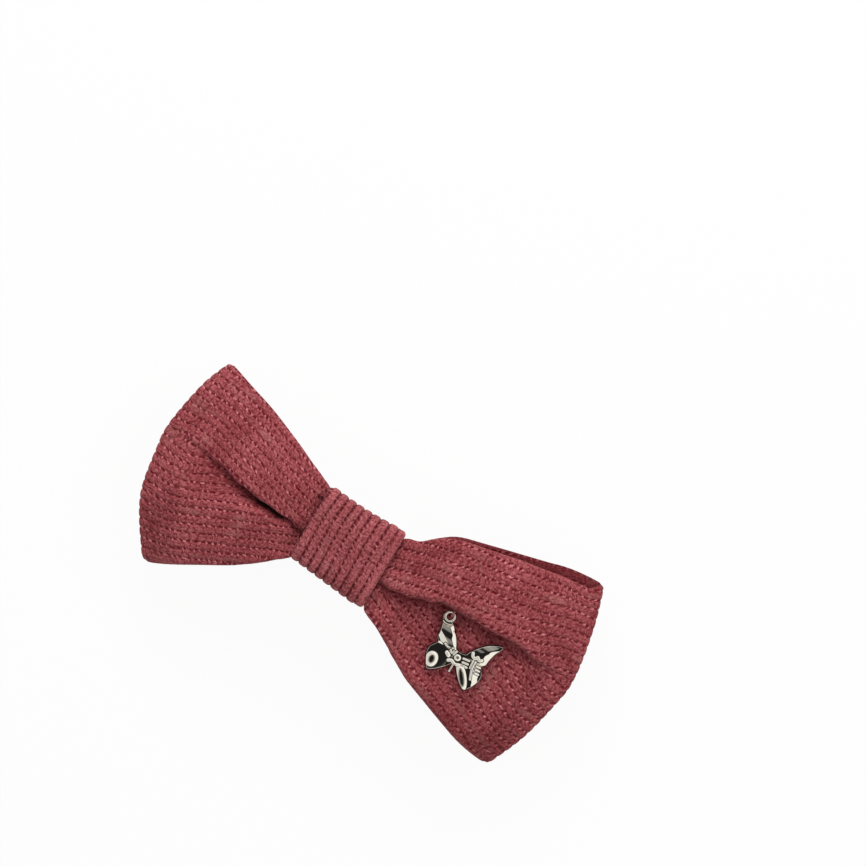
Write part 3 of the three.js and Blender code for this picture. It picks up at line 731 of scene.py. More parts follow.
def stitch_relief(u, v):
    """Height from 0 to 1 of the ribs and their rounded stitches at weave coordinates."""
    q = 2 * np.abs((v + 0.5 - RIB_MIDDLE) % 1 - 0.5)
    bead = np.abs(np.sin(math.pi * (u + ROW_SHIFT * np.floor(v) + BEAD_ARC * q * q))) ** 0.5
    return (1 - 0.9 * q ** 4) * (0.75 + 0.25 * bead)


def cloth_ply(place, rows, stations, facing, thickness, relief, weave, marks):
    """A ply of cloth with rolled long edges: outer face, edge, inner face, edge.

    facing is 1 or -1, whichever turns the face's normal out of the piece."""
    a = np.linspace(0, 1, rows + 1)[:, None]
    t, turn = (x[None, :] for x in stations[:2])
    nudge = 0.002
    centre = place(a, t)
    ahead = place(a + nudge, t) - place(a - nudge, t)
    across = unit(place(a, t + nudge) - place(a, t - nudge))
    normal = unit(np.cross(ahead, across)) * facing
    outward = normal * np.cos(turn)[..., None] + across * np.sin(turn)[..., None]
    thick = np.broadcast_to(thickness, centre.shape[:2])
    lift = np.array(np.broadcast_to(relief, centre.shape[:2]))
    lift[:, -1] = lift[:, 0]  # the outline closes on itself
    points = centre - normal * (thick / 2)[..., None] + outward * (thick / 2 + lift)[..., None]
    bm = bmesh.new()
    skin(bm, points, weave, marks)
    return bm


def build_loop(name, side):
    sizes = bpy.context.scene.bow_cloth
    loop = LOOPS[side]
    profile, girth = fold_profile(LOOP_REACH[side])
    stations = ply_stations(sizes.samples_per_rib * sizes.ribs, under=46, rounding=5, edge=0.05)
    rows = int(girth / sizes.row_spacing)
    inset = sizes.thickness / 2 + 0.1

    def place(a, t):
        u, w = profile(np.clip(a, 0, 1) + 0 * t)
        return loop_place(loop, u, w, t + 0 * a, inset)[0]

    a = np.linspace(0, 1, rows + 1)[:, None]
    t = stations[0][None, :]
    u, w = profile(a + 0 * t)
    flat, gap = loop_place(loop, u, w, t + 0 * a, inset)
    x, y = flat[..., 0], flat[..., 1]
    # On the front the ribs keep their pitch: they run off into the pleat, not closer together.
    share, unrolled = stations[0][None, :], stations[2][None, :]
    low, high = (y - (at_y + slope * (x - at_x)) for at_x, at_y, slope in loop["guides"])
    pleated = mix(low / loop["pitch"], sizes.ribs + high / loop["pitch"], ease(gap, -0.7, 0.7))
    front = ease(w, 0, 0.7)
    face = mix(share * sizes.ribs, pleated, front * (1 - ease(u, 0.8, 1)))
    v = face + (unrolled - share) * sizes.ribs * (unrolled > 1) + FIRST_RIB
    v = v + 0.16 * ripple(x / 5, y / 7, loop["seed"] + 1)
    beads = a * girth / sizes.bead + FIRST_BEAD + 0.22 * ripple(x / 1.9, y / 1.1, loop["seed"] + 2)
    strength = 0.65 + 0.35 * np.cos(np.minimum(stations[1], 2 * math.pi - stations[1]))[None, :]
    uneven = 0.8 + 0.2 * ripple(x / 7, y / 7, loop["seed"] + 3)
    relief = sizes.relief * stitch_relief(beads, v) * strength * uneven
    thickness = sizes.thickness * (1 - 0.45 * np.exp(-gap ** 2 / 1.5) * (w > 0.3))
    relief = relief * (1 - 0.7 * np.exp(-gap ** 2 / 0.6) * front)
    relief = relief * mix(0.65, 0.55, ease(np.abs(w), 0.55, 1))
    rolled = gap * (loop["roll"] - along(loop["overlap"], u) * np.exp(-gap * gap))
    sunk = rolled - lip_fall(loop, u[:, :1])
    # Painted shadow under the pleat's lip.
    hollow = along(loop["shadow"], u) * np.exp(-(np.minimum(sunk + 0.35, 0) / along(loop["fade"], u)) ** 2)
    hollow = hollow * (1 - ease(gap, -0.6, 0.1)) * front
    # Painted shade on the back layer's hem where it shows past the front.
    hem = loop["hem_shows"] * ease(share, 0.9, 0.95) * (w < 0.1) * ease(u, 0.28, 0.4)
    hollow = np.maximum(hollow, 0.68 * hem)
    # Painted shade on the front towards its low edge, which turns away from the light.
    low_edge = ease(1 - 2 * share, 0.5, 0.85) * front * ease(u, 0.4, 0.7)
    hollow = np.maximum(hollow, loop["low_edge_shade"] * low_edge)
    weave = np.stack(np.broadcast_arrays(beads, v), -1)
    facing = -1 if side == "right" else 1
    marks = {"hollow": hollow, "plain": 0 * hollow}
    bm = cloth_ply(place, rows, stations, facing, thickness, relief, weave, marks)
    piece = new_object(name, closed_mesh(bm, name), cloth_material())
    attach(piece, "bow")
    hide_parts("bow_strip")
    return piece


# ---- the knot ----
BAND = {"left": -8.5, "right": 6.75, "middle": 13.8, "half": 4.0, "squareness": 4.0, "gap": 0.3}
LAP = {"from": -110, "to": 290, "ease_from": 215, "ease_to": 245}  # degrees, 270 is the middle of the back
HEM = 1.35
WRAP_THICK = 1.1
WRAP_PITCH = 1.76  # between ribs
WRAP_ROW = 0.22  # between rows of the mesh
WRAP_RELIEF, HEM_RELIEF = 0.42, 0.16
WRAP_FIRST_RIB = 40.9


def rounded(angle, half_y, half_z, squareness):
    c, s = np.cos(angle), np.sin(angle)
    power = 2 / squareness
    return half_y * np.sign(c) * np.abs(c) ** power, half_z * np.sign(s) * np.abs(s) ** power


def band_place(degrees, x, outward):
    """A point of the knot's wrap. outward is how far it stands off the wrap's outer face."""
    lap = (WRAP_THICK + BAND["gap"]) * ease(degrees, LAP["ease_from"], LAP["ease_to"])
    high = 6.7 + 0.5 * (x / 8) ** 2
    low = -7.45 - 0.1 * x
    offset = outward + lap
    y, z = rounded(np.radians(degrees), (high - low) / 2 + offset, BAND["half"] + offset, BAND["squareness"])
    return np.stack(np.broadcast_arrays(x, y + (high + low) / 2, z + BAND["middle"]), -1)


def even_turns():
    """Angles round the wrap at even lengths of its outline."""
    fine = np.linspace(LAP["from"], LAP["to"], 6000)
    path = band_place(fine, 0.0 * fine, 0.0)
    gone = np.concatenate([[0], np.cumsum(np.linalg.norm(np.diff(path, axis=0), axis=1))])
    return (lambda a: np.interp(a * gone[-1], gone, fine)), gone[-1]


def build_wrap():
    angle_at, girth = even_turns()
    rows = int(girth / WRAP_ROW)
    stations = ply_stations(across=104, under=30, rounding=5, edge=0.12)
    ease_in = WRAP_THICK / 2

    def place(a, t):
        x = mix(BAND["right"] - ease_in, BAND["left"] + ease_in, t + 0 * a)
        return band_place(angle_at(np.clip(a, 0, 1)) + 0 * t, x, 0.0)

    a = np.linspace(0, 1, rows + 1)[:, None]
    t = stations[0][None, :]
    x = mix(BAND["right"] - ease_in, BAND["left"] + ease_in, t + 0 * a)
    length = a * girth + 0 * t
    from_hem = BAND["right"] - x
    bend = 0.16 * ripple(length / 3.5, x / 4, 21)
    ply_width = BAND["right"] - BAND["left"] - WRAP_THICK
    past_hem = stations[2][None, :] * ply_width + WRAP_THICK / 2 - HEM
    v = past_hem / WRAP_PITCH + WRAP_FIRST_RIB + bend
    beads = length + FIRST_BEAD + 0.4 * ripple(length / 1.6, x / 0.9, 22)
    ribbed = ease(from_hem, HEM - 0.25, HEM + 0.15)
    strength = 0.6 + 0.4 * np.cos(np.minimum(stations[1], 2 * math.pi - stations[1]))[None, :]
    relief = mix(HEM_RELIEF, WRAP_RELIEF * stitch_relief(beads, v) * strength, ribbed)
    weave = np.stack(np.broadcast_arrays(beads, v), -1)
    # Painted shade in the wrap's grooves, darker at its top and bottom where it turns away.
    groove = ease(2 * np.abs((v + 0.5 - RIB_MIDDLE) % 1 - 0.5), 0.55, 0.85) * ribbed
    ends = ease(np.abs(np.cos(np.radians(angle_at(a)))), 0.08, 0.6)
    hollow = groove * mix(0.2, 0.66, ends)
    marks = {"hollow": hollow, "plain": 1 - ribbed}
    bm = cloth_ply(place, rows, stations, -1, WRAP_THICK, relief, weave, marks)
    piece = new_object("knot_wrap", closed_mesh(bm, "knot_wrap"), cloth_material("rose_wrap_cloth", 0.26))
    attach(piece, "bow")
    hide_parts("knot_band")
    return piece


# ---- settings a user would change ----
def colour_property(name, note, default):
    return FloatVectorProperty(name=name, description=note, subtype="COLOR", size=3, min=0, max=1,
                               default=default[:3])


def number_property(name, note, default, **limits):
    return FloatProperty(name=name, description=note, default=default, **limits)


class BowCloth(bpy.types.PropertyGroup):
    """Cloth of the loops and the knot."""

    ribs: IntProperty(name="Ribs", description="Ribs across the folded strip", default=22, min=4, max=60)
    samples_per_rib: IntProperty(name="Samples per rib", description="Mesh columns in one rib",
                                 default=8, min=2, max=8)
    row_spacing: number_property("Row spacing", "Mesh row spacing in millimetres", 0.26, min=0.1)
    bead: number_property("Stitch length", "Length of one stitch in millimetres", 1.15, min=0.3)
    relief: number_property("Rib height", "Height of the ribs in millimetres", 0.36, min=0)
    thickness: number_property("Cloth", "Thickness of a hemmed ply in millimetres", 1.2, min=0.3)
    # How dark the painted shade in the stitches' holes is.
    gap_depth: number_property("Gap depth", "How dark the grooves are", 0.9, min=0, max=1)
    body: colour_property("Body", "Colour of the ribs' flanks", tone(137, 46, 52))
    crest: colour_property("Nap", "Colour of the nap on the ribs' crests", tone(176, 94, 97))
    # The colour of the painted shade between the stitches.
    gap: colour_property("Gap", "Colour between the stitches", tone(86, 8, 18))
    # The colour of the painted highlights on the stitches and the nap.
    fleck: colour_property("Highlight", "Colour of the light fibres", tone(232, 142, 147))


class BowCharm(bpy.types.PropertyGroup):
    """The butterfly charm."""

    grid: number_property("Detail", "Sculpting grid in millimetres", 0.06, min=0.04)
    plate: number_property("Plate", "Thickness of the flat plate in millimetres", 0.42, min=0.1)
    relief: number_property("Relief", "Steepness of the raised lines", 0.62, min=0)


class BowStudio(bpy.types.PropertyGroup):
    """Floor, lights and camera."""

    heading: number_property("Heading", "Turn of the camera about the vertical", math.radians(31),
                             subtype="ANGLE")
    height: number_property("Height", "Camera height over the cloth", 0.7, unit="LENGTH")
    view: number_property("View", "Width of the view at the cloth", 0.1516, unit="LENGTH")
    key: number_property("Key light", "Power of the main soft light", 0.95, unit="POWER")
    world: number_property("Room light", "Strength of the light from all round", 0.5)


# ---- the charm ----
CHARM = {"under": 14.4, "tail": (25.8, -5.24), "slope": 0.06}
RIM = np.array([21.16, -0.65, 14.65])
EYE = {"head": -3.79, "side": -4.85, "outer": 1.05, "hole": 0.6}
EYE_AT = np.array([EYE["side"] + CHARM["tail"][0], CHARM["tail"][1] - EYE["head"]])
EYE_EDGE = EYE["hole"] + 0.12  # where the plate stops, under the eye's round wire
# Half of the butterfly from tail to head: [towards the head, sideways].
HALF_BUTTERFLY = [[0.5, 0.75], [-0.3, 1.25], [-1.6, 2.2], [-3, 3.6], [-4, 5.7], [-3.5, 6.15], [-2, 5.5],
                  [-0.5, 5.15], [0.45, 5.05], [0.95, 4.6], [1.45, 4.8], [2.4, 5.4], [3.6, 5.4], [5.1, 4.75],
                  [6.2, 3.8], [5.7, 2.6], [4.5, 1.3], [3.5, 0.5]]
# Raised lines: points [head, side] and half width. Their height follows from the half width.
CHARM_LINES = [
    ([[0.7, -3.1], [0.85, -2.7], [0.95, -2.25]], 0.24),
    ([[1.9, -2.1], [2.2, -1.6]], 0.36),
    ([[0.75, -1.6], [1.25, -1.75], [1.5, -1.35], [1.1, -1.1]], 0.2),
    ([[0.5, -0.6], [1.0, -0.75], [1.6, -0.9]], 0.2),
    ([[2.95, -1.25], [2.7, -0.7], [3.0, 0.1], [2.75, 0.8]], 0.3),
    ([[3.1, -0.1], [4.6, -0.1]], 0.2),
    ([[1.35, 0.95], [1.2, 2.0]], 0.2),
    ([[2.0, 1.15], [1.85, 2.1]], 0.2),
    ([[2.55, 1.05], [2.45, 2.2]], 0.2),
    ([[0.7, 2.6], [2.2, 2.75]], 0.17),
    ([[0.8, 3.1], [2.2, 3.15], [3.9, 3.8]], 0.2),
    ([[-0.35, 1.9], [0.2, 2.2], [0.3, 2.7], [-0.1, 3.0], [0.25, 3.45], [0.0, 3.9]], 0.28),
    ([[1.35, 3.6], [1.3, 4.5]], 0.17),
    ([[1.95, 3.75], [1.9, 4.6]], 0.17),
    ([[2.55, 3.95], [2.5, 4.7]], 0.17),
]
# Oval rings: centre [head, side], half sizes, turn in degrees, half width.
CHARM_RINGS = [
    ((4.24, -3.89), (0.82, 0.56), 10, 0.58),
    ((4.4, 2.3), (1.7, 0.48), 38, 0.46),
    ((1.75, -0.05), (0.26, 0.30), 0, 0.34),
]
# Each pointed wing has a ridge: stations [head, side], slope of its outer facet and of its inner facet.
CHARM_RIDGES = {
    "left": ([[-3.6, -5.1], [-2.7, -4.1], [-0.9, -2.7], [0.9, -1.4]], 0.62, 0.185),
    "right": ([[-3.6, 6.1], [-1.74, 4.41], [-0.85, 3.97], [0.5, 3.8], [1.0, 3.8]], 0.50, 0.13),
}
CHARM_RIDGE_HIGH = 0.95


def to_charm(x, y):
    return -(y - CHARM["tail"][1]), x - CHARM["tail"][0]


def from_charm(head, side):
    return side + CHARM["tail"][0], CHARM["tail"][1] - head


def hang(points):
    """Leans the charm down towards its far wing about the thread's rim."""
    gone = np.asarray(points, float) - RIM
    c, s = math.cos(CHARM["slope"]), math.sin(CHARM["slope"])
    return np.stack([gone[..., 0] * c + gone[..., 2] * s, gone[..., 1],
                     gone[..., 2] * c - gone[..., 0] * s], -1) + RIM


def butterfly_outline():
    right = HALF_BUTTERFLY
    left = [[head, -side] for head, side in reversed(HALF_BUTTERFLY)]
    loop = right + [[3.3, 0.0]] + left
    closed = loop[-2:] + loop + loop[:2]
    path, _ = spline(closed, 10)
    return path[20:-10]


def charm_height(head, side, inward):
    """Height of the charm's front over its flat back, and how much painted shade lies in its hollows, round
    its raised lines and at its rim.
    """
    sizes = bpy.context.scene.bow_charm
    plate = sizes.plate
    stations, outer, inner = CHARM_RIDGES["left"]
    past = (side - along(stations, head)) * 0.8
    left = CHARM_RIDGE_HIGH - np.where(past > 0, outer, -inner) * past
    # A cut corner low on the left wing, and a bevel along the top of the right one.
    corner = (head + 0.04) * 0.85 - (side + 3.98) * 0.53
    left = left - 0.26 * np.maximum(corner + 0.25, 0) * (corner < 2)
    stations, outer, inner = CHARM_RIDGES["right"]
    past = (side - along(stations, head)) * 0.8
    right = CHARM_RIDGE_HIGH - np.where(past > 0, outer, -inner) * past
    bevel = (0.9 - head - side) * 0.707 + 0.9
    right = right - 0.13 * np.maximum(bevel, 0)
    pointed = np.where(side < 0, left, right)
    lobe_left = 0.48 + 0.16 * (1 - (np.hypot(head - 3.4, side + 3.2) / 2.6) ** 2)
    groove_line = along([[1.0, 2.9], [3.1, 3.5], [4.5, 4.4], [6, 5.4]], head)
    lobe_right = 0.75 - 0.34 * np.maximum(side - groove_line, 0) - 0.06 * np.maximum(groove_line - side, 0)
    lobe = np.where(side < 0, lobe_left, lobe_right)
    top = mix(pointed, lobe, ease(head, 0.7, 1.15))
    top = mix(top, plate + 0.2, 1 - ease(np.abs(side), 0.7, 1.3))
    relief, foot = 0, 0
    for points, reach in CHARM_LINES:
        path, _ = spline(points, 8)
        away = distance_to(path, head, side) / reach
        relief = np.maximum(relief, reach * sizes.relief * (1 - np.minimum(away, 1) ** 1.35))
        # Painted shade along the foot of each raised line.
        foot = np.maximum(foot, np.exp(-(((away - 1) * reach - 0.05) / 0.08) ** 2))
    for (centre_h, centre_s), (long_half, short_half), turn, reach in CHARM_RINGS:
        c, s = math.cos(math.radians(turn)), math.sin(math.radians(turn))
        out_h, out_s = head - centre_h, side - centre_s
        p, q = out_h * c + out_s * s, out_s * c - out_h * s
        size = np.hypot(p / long_half, q / short_half)
        slope = np.maximum(np.hypot(p / long_half ** 2, q / short_half ** 2) / np.maximum(size, 1e-6), 1e-6)
        away = (size - 1) / slope
        outer_side, inner_side = (np.clip(1 + x, 0, 1) for x in (-away / reach, away / 0.12))
        ring = reach * sizes.relief * np.minimum(outer_side, inner_side)
        inside = size < 1
        top = np.where(inside, np.minimum(top, plate + 0.18), top)
        relief = np.maximum(np.where(inside, 0, relief), ring)
        # Painted shade round each ring, and painted dark reflection over its inside.
        foot = np.maximum(foot, np.exp(-((away - reach - 0.05) / 0.08) ** 2))
        foot = np.maximum(foot, 0.6 * inside)
    top = top + relief
    to_eye = np.hypot(head - EYE["head"], side - EYE["side"])
    top = np.minimum(top, mix(0.34, 1.2, ease(to_eye, 1.3, 2.2)))
    edge = np.clip(inward / 0.16, 0, 1)
    top = np.maximum(top, 0.3) * (0.3 + 0.7 * edge)
    # Painted shade: the feet where nothing is raised, and a dark rim round the outline.
    dark = np.maximum(foot * (relief < 0.04), 1 - ease(inward, 0.1, 0.26))
    return top, dark


def inside_outline(ring, xy):
    """Whether each point lies inside a closed line."""
    inside = np.zeros(len(xy), bool)
    for (ax, ay), (dx, dy) in zip(ring[:-1], ring[1:] - ring[:-1]):
        if abs(dy) < 1e-12:
            continue
        crosses = (ay > xy[:, 1]) != (ay + dy > xy[:, 1])
        inside ^= crosses & (xy[:, 0] < ax + dx * (xy[:, 1] - ay) / dy)
    return inside


def snap_to_edge(point, ring):
    """The nearest point of the outline, or of the eye's hole if that is nearer."""
    starts, ahead = ring[:-1], ring[1:] - ring[:-1]
    share = np.clip(((point - starts) * ahead).sum(1) / np.maximum((ahead ** 2).sum(1), 1e-12), 0, 1)
    nearest = starts + ahead * share[:, None]
    best = nearest[np.argmin(((point - nearest) ** 2).sum(1))]
    to_eye = point - EYE_AT
    gap = np.linalg.norm(to_eye)
    if abs(gap - EYE_EDGE) < np.linalg.norm(best - point):
        best = EYE_AT + to_eye / gap * EYE_EDGE
    return best


def charm_plan(bm, ring):
    """Fills a bmesh with the charm's flat grid. Returns its points' places and which are on the rim."""
    spacing = bpy.context.scene.bow_charm.grid
    low, high = ring.min(0) - 0.2, ring.max(0) + 0.2
    columns, rows = (int(n) for n in np.ceil((high - low) / spacing))
    bmesh.ops.create_grid(bm, x_segments=columns, y_segments=rows, size=1)

    def places():
        return low + (np.array([v.co[:2] for v in bm.verts]) + 1) / 2 * (high - low)

    xy = places()
    away = distance_to(ring, xy[:, 0], xy[:, 1])
    signed = np.where(inside_outline(ring, xy), away, -away)
    signed = np.minimum(signed, np.hypot(*(xy - EYE_AT).T) - EYE_EDGE)
    outside = [v for v, depth in zip(list(bm.verts), signed) if depth <= -0.5 * spacing]
    bmesh.ops.delete(bm, geom=outside, context="VERTS")
    bmesh.ops.delete(bm, geom=[v for v in bm.verts if not v.link_faces], context="VERTS")
    xy = places()
    rim = np.array([v.is_boundary for v in bm.verts])
    for k in np.flatnonzero(rim):
        xy[k] = snap_to_edge(xy[k], ring)
    return xy, rim


def charm_plate(bm, ring):
    """The charm's sculpted front on its flat back, with painted shade in its hollows and at its rim."""
    xy, rim = charm_plan(bm, ring)
    to_hole = np.hypot(*(xy - EYE_AT).T) - EYE_EDGE
    inward = np.minimum(distance_to(ring, xy[:, 0], xy[:, 1]), np.maximum(to_hole, 0))
    top, shade = charm_height(*to_charm(xy[:, 0], xy[:, 1]), inward)
    layer = bm.verts.layers.float.new("hollow")
    back = list(bm.verts)
    made = bmesh.ops.extrude_face_region(bm, geom=list(bm.faces), use_keep_orig=True)["geom"]
    lifted = [g for g in made if isinstance(g, bmesh.types.BMVert)]
    at = {tuple(np.round(v.co[:2], 5)): k for k, v in enumerate(back)}
    for vert in lifted:
        k = at[tuple(np.round(vert.co[:2], 5))]
        vert.co = in_part(hang([*xy[k], CHARM["under"] + top[k]]))
        vert[layer] = shade[k]
    for k, vert in enumerate(back):
        vert.co = in_part(hang([*xy[k], CHARM["under"]]))
        # The flat back's rim gets painted shade too, so the side walls look dark.
        vert[layer] = float(rim[k])


def build_charm():
    edge = np.array([from_charm(head, side) for head, side in butterfly_outline()])
    bm = bmesh.new()
    charm_plate(bm, np.vstack([edge, edge[:1]]))
    # The hanging eye is a round wire ring let into the wing's tip.
    turn = np.linspace(0, 2 * math.pi, 41)
    middle = (EYE["outer"] + EYE["hole"]) / 2
    circle = np.stack([EYE_AT[0] + middle * np.cos(turn), EYE_AT[1] + middle * np.sin(turn),
                       0 * turn + CHARM["under"] + 0.25], -1)
    points, _ = rod(circle, 0.235, 12, closed=True)
    skin(bm, hang(points))
    # Both feelers are one short wire between the round wings.
    wire = np.linspace([2.8, -0.1, 0.5], [4.65, -0.1, 0.42], 8)
    wire = np.stack([*from_charm(wire[:, 0], wire[:, 1]), wire[:, 2] + CHARM["under"]], -1)
    points, _ = rod(wire, 0.2, 12)
    skin(bm, hang(points))
    piece = new_object("silver_butterfly", closed_mesh(bm, "silver_butterfly"), silver_material())
    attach(piece, "charm")
    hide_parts("butterfly_charm")


# ---- operators ----
FLOOR_DROP = 0.0002  # how far the floor lies under the clip, in metres
VIEW_MIDDLE = (1.79, 24.57, 16.0)  # the clip lies to one side of it


class BOW_OT_stage(bpy.types.Operator):
    """Makes the pale floor, the soft lights, the room and the camera."""

    bl_idname = "bow.stage"
    bl_label = "Stage"

    def execute(self, context):
        studio = context.scene.bow_studio
        context.scene.view_settings.view_transform = "Standard"
        bm = bmesh.new()
        bmesh.ops.create_grid(bm, x_segments=1, y_segments=1, size=3.0)
        bmesh.ops.translate(bm, verts=bm.verts, vec=(0, 0, -FLOOR_DROP))
        mesh = bpy.data.meshes.new("floor")
        bm.to_mesh(mesh)
        bm.free()
        floor = new_object("floor", mesh, floor_material(), smooth=False)
        turn = studio.heading
        for name, size, height, heading, tilt, power in (
            ("key_light", 0.24, 0.42, turn - 0.05, 54, 1.0),
            ("side_light", 0.25, 0.40, turn - 1.3, 50, 0.25),
            ("fill_light", 0.35, 0.45, turn - 2.4, 48, 0.12),
        ):
            lamp = bpy.data.lights.new(name, "AREA")
            lamp.shape = "DISK"
            lamp.size = size
            lamp.energy = studio.key * power
            holder = bpy.data.objects.new(name, lamp)
            context.scene.collection.objects.link(holder)
            lean = math.radians(tilt)
            out = Vector((-math.sin(heading) * math.sin(lean), math.cos(heading) * math.sin(lean),
                          math.cos(lean)))
            holder.location = out * height
            holder.rotation_mode = "QUATERNION"
            holder.rotation_quaternion = out.to_track_quat("Z", "Y")
            holder.visible_glossy = False
        make_room(context.scene, studio.world, turn)
        self.make_camera(context.scene, studio)
        return {"FINISHED"}

    def make_camera(self, scene, studio):
        data = bpy.data.cameras.new("camera")
        data.sensor_width = 36.0
        data.lens = data.sensor_width * studio.height / studio.view
        data.clip_start, data.clip_end = 0.01, 20.0
        camera = bpy.data.objects.new("camera", data)
        middle = in_part(VIEW_MIDDLE)
        camera.location = (middle[0], middle[1], middle[2] + studio.height)
        camera.rotation_euler = (0, 0, studio.heading)
        scene.collection.objects.link(camera)
        scene.camera = camera


def floor_material():
    """Pale paper that the camera sees as white, but for the object's own soft shadow."""
    material = bpy.data.materials.new("pale_paper")
    material.use_nodes = True
    tree = material.node_tree
    tree.nodes.clear()
    g = Graph(tree)
    place = g.place()
    grain = g.noise(place, 900.0, 3.0, 0.6)
    paper = g.blend(grain, tone(238, 238, 237), tone(246, 246, 245))
    shaded = g.node("ShaderNodeBsdfDiffuse", {"Color": paper}).outputs[0]
    white = g.node("ShaderNodeEmission", {"Color": (1, 1, 1, 1), "Strength": 1.0}).outputs[0]
    rays = g.node("ShaderNodeLightPath").outputs
    seen = g.math("MAXIMUM", rays["Is Camera Ray"], g.math("MAXIMUM", rays["Is Glossy Ray"],
                                                          rays["Is Transmission Ray"]))
    pale = g.node("ShaderNodeMixShader", {"Fac": g.times(seen, 0.94), 1: shaded, 2: white})
    g.node("ShaderNodeOutputMaterial", {"Surface": pale.outputs[0]})
    return material


def make_room(scene, strength, heading):
    """Even room light, with bright windows low on one side and a dark ceiling for metal to reflect."""
    world = bpy.data.worlds.new("room")
    scene.world = world
    world.use_nodes = True
    world.node_tree.nodes.clear()
    g = Graph(world.node_tree)
    way = g.node("ShaderNodeTexCoord").outputs["Generated"]
    split = g.node("ShaderNodeSeparateXYZ", {"Vector": way})
    up = split.outputs["Z"]
    side = g.node("ShaderNodeVectorMath", {1: (math.cos(heading), math.sin(heading), 0.0)},
                  operation="DOT_PRODUCT")
    g.feed(side.inputs[0], way)
    open_side = g.span(side.outputs["Value"], -0.5, 0.4, 0.85, 1.1)
    low_window = g.times(g.span(up, 0.90, 0.86), 0.65)
    windows = g.math("MULTIPLY_ADD", g.span(up, 0.955, 0.925), 0.3, low_window)
    ceiling = g.math("MULTIPLY_ADD", windows, open_side, 0.015)
    rays = g.node("ShaderNodeLightPath").outputs
    camera = g.node("ShaderNodeBackground", {"Color": (1, 1, 1, 1), "Strength": 1.0}).outputs[0]
    even = g.node("ShaderNodeBackground", {"Color": (1, 1, 1, 1), "Strength": strength}).outputs[0]
    mirrored = g.node("ShaderNodeBackground", {"Color": (1, 1, 1, 1), "Strength": ceiling}).outputs[0]
    glossy = g.node("ShaderNodeMixShader", {"Fac": rays["Is Glossy Ray"], 1: even, 2: mirrored}).outputs[0]
    final = g.node("ShaderNodeMixShader", {"Fac": rays["Is Camera Ray"], 1: glossy, 2: camera}).outputs[0]
    g.node("ShaderNodeOutputWorld", {"Surface": final})


class BOW_OT_loops(bpy.types.Operator):
    """Makes the two hemmed loops of the bow from one folded strip."""

    bl_idname = "bow.loops"
    bl_label = "Loops"

    def execute(self, context):
        for side in LOOPS:
            piece = build_loop(f"bow_loop_{side}", side)
        return {"FINISHED"}


class BOW_OT_knot(bpy.types.Operator):
    """Makes the hemmed wrap round the bow's gathered middle."""

    bl_idname = "bow.knot"
    bl_label = "Knot wrap"

    def execute(self, context):
        piece = build_wrap()
        return {"FINISHED"}


class BOW_OT_threads(bpy.types.Operator):
    """Makes the lap's whip stitch and the charm's thread loop, and gives the gathering thread its finish."""

    bl_idname = "bow.threads"
    bl_label = "Threads"

    def execute(self, context):
        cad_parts["gather_thread"].data.materials.clear()
        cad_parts["gather_thread"].data.materials.append(hidden_thread_material())
        self.whip_stitch()
        self.charm_loop()
        return {"FINISHED"}

    def whip_stitch(self):
        stitches, yarn = 7, 0.18
        on_lap = BAND["gap"] - 0.1 + yarn
        route = [(-8, on_lap), (3, on_lap + 0.2), (13, on_lap - WRAP_THICK - BAND["gap"]), (3, on_lap + 0.2)]
        points = []
        for k in range(4 * stitches):
            turn, outward = route[k % 4]
            x = mix(BAND["left"] + 2.5, BAND["right"] - 2.5, k / (4 * stitches))
            points.append(band_place(np.array(LAP["to"] + turn), np.array(x), outward))
        path, _ = spline(points, 9)
        surface, weave = rod(path, yarn, 10, strands=3, lay=9.0)
        bm = bmesh.new()
        skin(bm, surface, weave)
        piece = new_object("lap_whip_stitch", closed_mesh(bm, "lap_whip_stitch"), thread_material())
        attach(piece, "bow")
        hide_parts("band_stitching")

    def charm_loop(self):
        radius, yarn = 0.6, 0.16
        turn = np.linspace(0, 2 * math.pi, 49)
        ring = np.stack([0 * turn, -radius * np.cos(turn), radius * np.sin(turn)], -1) + RIM
        bm = bmesh.new()
        surface, weave = rod(ring, yarn, 12, strands=3, lay=12.0, closed=True)
        skin(bm, hang(surface), weave)
        stem = curve([[0, radius, 0.15], [0.02, radius + 0.03, -0.2], [0, radius, -0.6], [0, radius, -1.3]])
        surface, weave = rod(stem(np.linspace(0, 1, 20)) + RIM, yarn, 12, strands=3, lay=12.0)
        skin(bm, hang(surface), weave)
        piece = new_object("charm_thread_loop", closed_mesh(bm, "charm_thread_loop"), thread_material())
        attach(piece, "thread_loop")
        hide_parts("charm_thread")


class BOW_OT_charm(bpy.types.Operator):
    """Makes the sculpted butterfly charm with its flat polished back."""

    bl_idname = "bow.charm"
    bl_label = "Charm"

    def execute(self, context):
        build_charm()
        return {"FINISHED"}


PIN = {"x": 4.0, "z": 3.6, "radius": 0.75, "head": 1.4, "end": 5.15}
SPRING = {"wire": 0.3, "radius": 1.75, "turns": 3.5, "half": 2.2, "arm": 7.5, "spread": 0.075}


